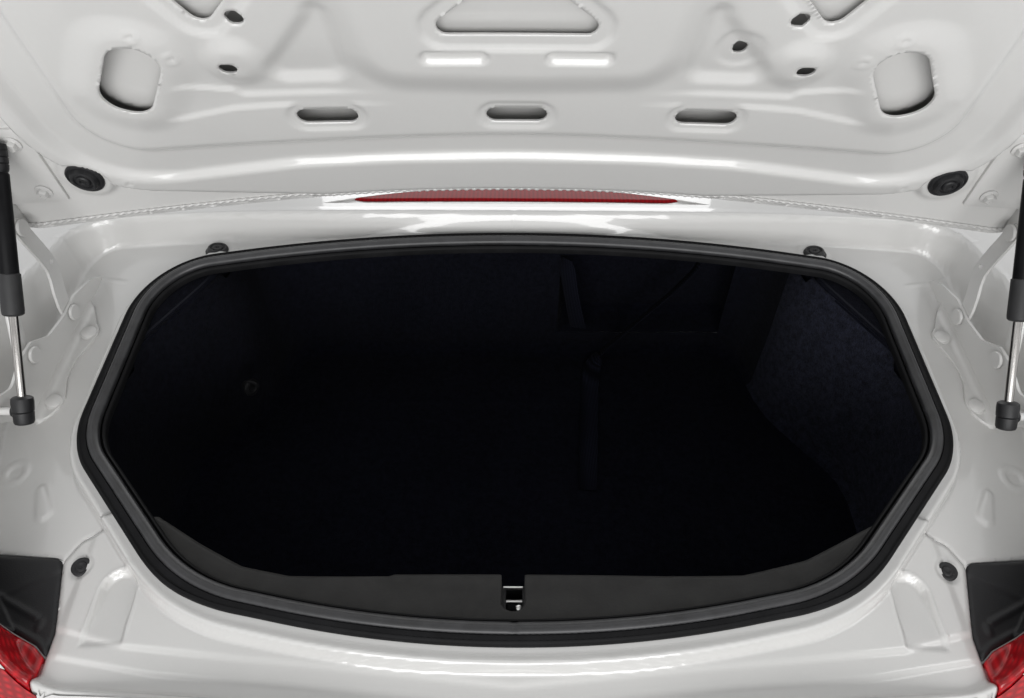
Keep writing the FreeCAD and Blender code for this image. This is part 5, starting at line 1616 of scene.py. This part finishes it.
def lid_relief(x, y):
    """Pressed forms of the lid's inner panel: height away from the seal's plane."""
    far = np.abs(x)
    seal = seal_line.distance(x, y)
    ridge = np.interp(far, *LID_RIDGE)
    panel = panel_line.distance(x, y)
    relief = 7.0 * ease(panel, -3.0, 9.0) * ease(ridge - y, 0.0, 11.0) * ease(-seal, 7.0, 22.0)
    within = ease(panel, 0.0, -14.0)
    # Middle plateau, the hollows beside it, the creases and the dishes round the holes.
    form = -7.0 * ease(plateau_line.distance(x, y), 15.0, -17.0)
    form = form + 5.5 * ease(hollow_line.distance(far, y), 7.0, -8.0)
    for run, line, fade_in, fade_out in CREASES:
        step = np.interp(far, run, line) - y
        crease = 2.2 * ease(step, -1.8, 1.8) * (1 - ease(step, 8.0, 60.0))
        form = form + crease * ease(far, *fade_in) * ease(far, *fade_out)
    form = form - 4.5 * ease(np.hypot(far - 226.0, y + 322.0), 30.0, 10.0)
    form = form - 4.0 * ease(side_hole_line.distance(far, y), 30.0, 4.0)
    form = form + 2.8 * ease(middle_hole_line.distance(x, y), 15.0, 10.0)
    form = form + 2.8 * ease(rear_hole_line.distance(far, y), 14.0, 9.0)
    # Lips of the cut slots, the blind slots and the disc on the right.
    for slot in THROUGH_SLOTS:
        form = form + 2.0 * ease(slot_distance(x, y, *slot), 9.0, 5.5)
    for slot in PRESSED_SLOTS:
        form = form + 4.5 * ease(slot_distance(x, y, *slot), 0.8, -1.8)
    disc = np.hypot(x - PRESSED_DISC[0], y - PRESSED_DISC[1])
    form = form + 1.8 * ease(disc, 20.5, 17.0)
    relief = relief + within * form
    for sx, sy in SMALL_SCREWS:
        ring = np.hypot(far - sx, y - sy)
        relief = relief - 1.1 * ease(ring, 6.4, 4.8) + 1.6 * ease(ring, 4.0, 2.6)
    # Two bowed ribs near the striker.
    for rib in (-488.0, -520.0):
        relief = relief + 3.0 * ease(np.abs(y - rib + 0.0002 * x ** 2), 9.0, 4.0) * ease(far, 150.0, 120.0)
    return relief


def contact_share(seal, lid):
    """1 where the lid's panel comes down to the seal, 0 on its hem, by the distances of their lines."""
    return np.minimum(ease(seal, 16.0, 3.0), ease(-lid, 6.5, 20.0))


def hem_surface(x, y):
    """Underside of the lid from its hem to the seal, without the pressed forms."""
    share = contact_share(seal_line.distance(x, y), lid_line.distance(x, y))
    return lid_hem(x, y) * (1 - share) + (seal_top(x, y) + 1.0) * share


def oval(x, y, out_x, out_y, z, wide, tall, sides):
    """Upright ring across a plan line at one of its points."""
    angles = np.linspace(0, 2 * math.pi, sides + 1)[:-1]
    return [
        (x + out_x * wide * math.cos(t), y + out_y * wide * math.cos(t), z + tall * math.sin(t)) for t in angles
    ]


class BOOT_OT_lid_panel(bpy.types.Operator):
    """Pressed inner panel of the lid with its hem, sealer bead and folded edge"""

    bl_idname = "boot.lid_panel"
    bl_label = "Lid inner panel"

    def execute(self, context):
        pitch = context.scene.boot_looks.pitch / MM
        side_hole, rear_hole, middle_hole = (Outline(line, 2.5) for line in (SIDE_HOLE, REAR_HOLE, MIDDLE_HOLE))

        def edge(x, y):
            far = np.abs(x)
            parts = [
                lid_line.distance(x, y) + 5.8, -side_hole.distance(far, y), -rear_hole.distance(far, y),
                -middle_hole.distance(x, y)
            ]
            parts += [-slot_distance(x, y, *slot) for slot in THROUGH_SLOTS]
            parts += [-slot_distance(far, y, *slot) for slot in OVAL_HOLES]
            short, long = np.abs(x - PRESSED_DISC[0]) - 0.5, np.abs(y - PRESSED_DISC[1]) - 1.5
            parts.append(5.0 - np.hypot(np.maximum(short, 0), np.maximum(long, 0)))
            return np.maximum.reduce(parts)

        def height(x, y):
            seal, lid = seal_line.distance(x, y), lid_line.distance(x, y)
            hem = np.maximum(lid_hem(x, y), gutter_floor(x, y) + 7.0)
            contact = seal_top(x, y) + 1.0
            share = contact_share(seal, lid)
            boss = ease(np.hypot(np.abs(x) - LID_STOP[0], y - LID_STOP[1]), 30.0, 22.0)
            seat = crown(*LID_STOP, 4.9) - 5.0
            z = (hem * (1 - share) + contact * share) * (1 - boss) + seat * boss
            return z + lid_relief(x, y) * ease(seal, 6.0, 0.0)

        xs = np.arange(-552, 552.1, pitch)
        ys = np.arange(-674, -98, pitch)
        x, y, faces = trimmed_grid(xs, ys, edge)
        points = np.stack([x, y, height(x, y)], 1)
        faces = [face[::-1] for face in faces]
        points, faces = with_rim(points, faces, [(0, 0, 0.8), (0, 0, 1.6)])
        finished(
            new_piece("lid_inner_panel", lifted(points), faces), "inner paint", "lid", "body_paint",
            ("lid_inner",)
        )
        self.backing(height)
        self.edges()
        return {"FINISHED"}

    def backing(self, height):
        """Inner skin seen through the larger holes."""

        def edge(x, y):
            far = np.abs(x)
            side, rear = side_hole_line.distance(far, y), rear_hole_line.distance(far, y)
            return np.minimum.reduce([side, rear, middle_hole_line.distance(x, y)]) - 10.0

        def behind(x, y):
            near = side_hole_line.distance(np.abs(x), y) < 20.0
            return height(x, y) + np.where(near, 20.0 - 0.12 * (y + 310.0), 9.0 + 0.05 * (y + 400.0))

        x, y, faces = trimmed_grid(np.arange(-380, 380.1, 4.0), np.arange(-462, -250, 4.0), edge)
        points, faces = with_rim(
            np.stack([x, y, behind(x, y)], 1), [face[::-1] for face in faces], [(0, 0, 0.8)]
        )
        finished(new_piece("lid_backing_sheet", lifted(points), faces), "inner paint", "lid", "body_paint")

    def edges(self):
        """Folded edge of the skin, and the stitched bead of sealer beside it."""
        line, out = lid_line.spaced(4.0)
        form, bead = Form(), Form()
        rings = []
        for (x, y), (nx, ny) in zip(line, out):
            cx, cy = x - nx * 6.2, y - ny * 6.2
            z = max(lid_hem(cx, cy), gutter_floor(cx, cy) + 6.0) + 2.2
            rings.append(oval(cx, cy, nx, ny, z, 1.7, 2.4, 8))
        form.rings(rings, closed=True)
        form.points = lifted(form.points)
        form.piece("lid_folded_edge", "gloss paint", "lid", "body_paint", angle=70.0)
        line, out = lid_line.spaced(2.0)
        rings = []
        for index, ((x, y), (nx, ny)) in enumerate(zip(line, out)):
            if y < -150.0:
                continue
            cx, cy = x - nx * 12.0, y - ny * 12.0
            z = height_at(hem_surface, cx, cy) - 0.9
            stitch = 2.5 if index % 4 < 2 else 0.8
            rings.append(oval(cx, cy, nx, ny, z, 1.9, stitch, 6))
        order = sorted(range(len(rings)), key=lambda i: rings[i][0][0])
        bead.rings([rings[i] for i in order])
        bead.points = lifted(bead.points)
        bead.piece("lid_sealer_bead", "sealer", "lid", "body_paint", angle=80.0)


class BOOT_OT_structure(bpy.types.Operator):
    """Cross member, frame rails, rear panel and bulkhead"""

    bl_idname = "boot.structure"
    bl_label = "Structure"

    def execute(self, context):
        for name in ("cross_member", "frame_rail_left", "frame_rail_right"):
            edged(name, "under paint", 1.5, "primer")
        for name in ("rear_panel", "front_bulkhead"):
            painted(name, "under paint")
        return {"FINISHED"}


class BOOT_OT_stage(bpy.types.Operator):
    """Pale floor, soft lamps, white surroundings and the camera"""

    bl_idname = "boot.stage"
    bl_label = "Stage"

    def execute(self, context):
        self.floor()
        self.surroundings()
        light = context.scene.boot_looks.light
        for name, place, target, size, power in LAMPS:
            self.lamp(name, place, target, size, power * light)
        self.camera()
        context.scene.view_settings.view_transform = "Standard"
        return {"FINISHED"}

    def floor(self):
        """Plain pale floor under the part."""
        low = float(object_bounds()[0][2]) / MM - 0.5
        ticks = np.linspace(-6000.0, 6000.0, 9)
        points = [(x, y, low) for x in ticks for y in ticks]
        faces = [[c, c + 9, c + 10, c + 1] for c in (i * 9 + j for i in range(8) for j in range(8))]
        ground = new_piece("stage_floor", points, faces)
        plain = Finish("floor_paint", Roughness=0.9)
        speck = plain.noise(3.0, 2.0)
        plain.feed("Base Color", plain.mixed(speck, (0.78, 0.78, 0.78, 1), (0.82, 0.82, 0.82, 1)))
        ground.data.materials.append(plain.material)
        ground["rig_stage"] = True

    def surroundings(self):
        """Even world light, white where the camera, a reflection or glass sees it."""
        world = bpy.data.worlds.new("studio")
        bpy.context.scene.world = world
        world.use_nodes = True
        nodes = Nodes(world.node_tree)
        nodes.tree.nodes.clear()
        seen = [
            nodes.node("ShaderNodeLightPath", {}, {}, ray)
            for ray in ("Is Camera Ray", "Is Glossy Ray", "Is Transmission Ray")
        ]
        plain = nodes.node(
            "ShaderNodeBackground", {}, {"Color": (0.96, 0.98, 1.0, 1), "Strength": WORLD_STRENGTH}
        )
        white = nodes.node("ShaderNodeBackground", {}, {"Color": (1, 1, 1, 1), "Strength": 1.0})
        both = nodes.node("ShaderNodeMixShader", {}, {0: seen[0] + seen[1] + seen[2], 1: plain, 2: white})
        nodes.node("ShaderNodeOutputWorld", {}, {"Surface": both})

    def lamp(self, name, place, target, size, power):
        """Soft rectangular lamp that looks from its place to its target."""
        data = bpy.data.lights.new(name, "AREA")
        data.shape = "RECTANGLE"
        data.size, data.size_y = size
        data.energy = power
        lamp = placed(name, data)
        lamp.visible_camera = False
        back = np.array(place, float) - np.array(target, float)
        back /= np.linalg.norm(back)
        right = np.cross((0.0, 1.0, 0.0) if abs(back[2]) > 0.95 else (0.0, 0.0, 1.0), back)
        right /= np.linalg.norm(right)
        up = np.cross(back, right)
        lamp.matrix_world = Matrix([[right[k], up[k], back[k], place[k]] for k in range(3)] + [[0, 0, 0, 1]])

    def camera(self):
        """Camera that stands where the photo was taken."""
        data = bpy.data.cameras.new("photo_camera")
        data.sensor_width = SENSOR
        data.lens = FOCAL_PIXELS / PICTURE_WIDTH * SENSOR
        data.shift_x = -MIDDLE_PIXELS / PICTURE_WIDTH
        data.clip_start = 0.02
        camera = placed("photo_camera", data)
        tilt = Matrix.Rotation(math.pi / 2 - CAMERA_PITCH, 4, "X") @ Matrix.Rotation(CAMERA_ROLL, 4, "Z")
        camera.matrix_world = Matrix.Translation(CAMERA_PLACE) @ tilt
        bpy.context.scene.camera = camera


OPERATORS = (
    BOOT_OT_outer_panels,
    BOOT_OT_gutters,
    BOOT_OT_finisher,
    BOOT_OT_seal,
    BOOT_OT_well,
    BOOT_OT_sill,
    BOOT_OT_buffers,
    BOOT_OT_lamps,
    BOOT_OT_hinges,
    BOOT_OT_struts,
    BOOT_OT_lid_panel,
    BOOT_OT_structure,
    BOOT_OT_stage,
)


class BOOT_PT_looks(bpy.types.Panel):
    """Colours, sizes and the steps that dress the part"""

    bl_idname = "BOOT_PT_looks"
    bl_label = "Boot section"
    bl_space_type = "VIEW_3D"
    bl_region_type = "UI"
    bl_category = "Boot"

    def draw(self, context):
        looks = context.scene.boot_looks
        for name in (
            "paint", "primer", "rubber", "plastic", "trim", "carpet", "lens", "pitch", "rib_pitch", "light"
        ):
            self.layout.prop(looks, name)
        for operator in OPERATORS:
            self.layout.operator(operator.bl_idname)


CLASSES = (BootLooks,) + OPERATORS + (BOOT_PT_looks,)


def register():
    """Makes the add-on's classes and its settings known to Blender."""
    for kind in CLASSES:
        bpy.utils.register_class(kind)
    bpy.types.Scene.boot_looks = PointerProperty(type=BootLooks)


def unregister():
    """Takes the settings and the classes away again."""
    del bpy.types.Scene.boot_looks
    for kind in reversed(CLASSES):
        bpy.utils.unregister_class(kind)


def main():
    """Builds the whole scene: the classes, the pieces, the materials, the lamps and the camera."""
    register()
    for operator in OPERATORS:
        step = operator.bl_idname.split(".")[1]
        getattr(bpy.ops.boot, step)()


if __name__ == "__main__":
    main()
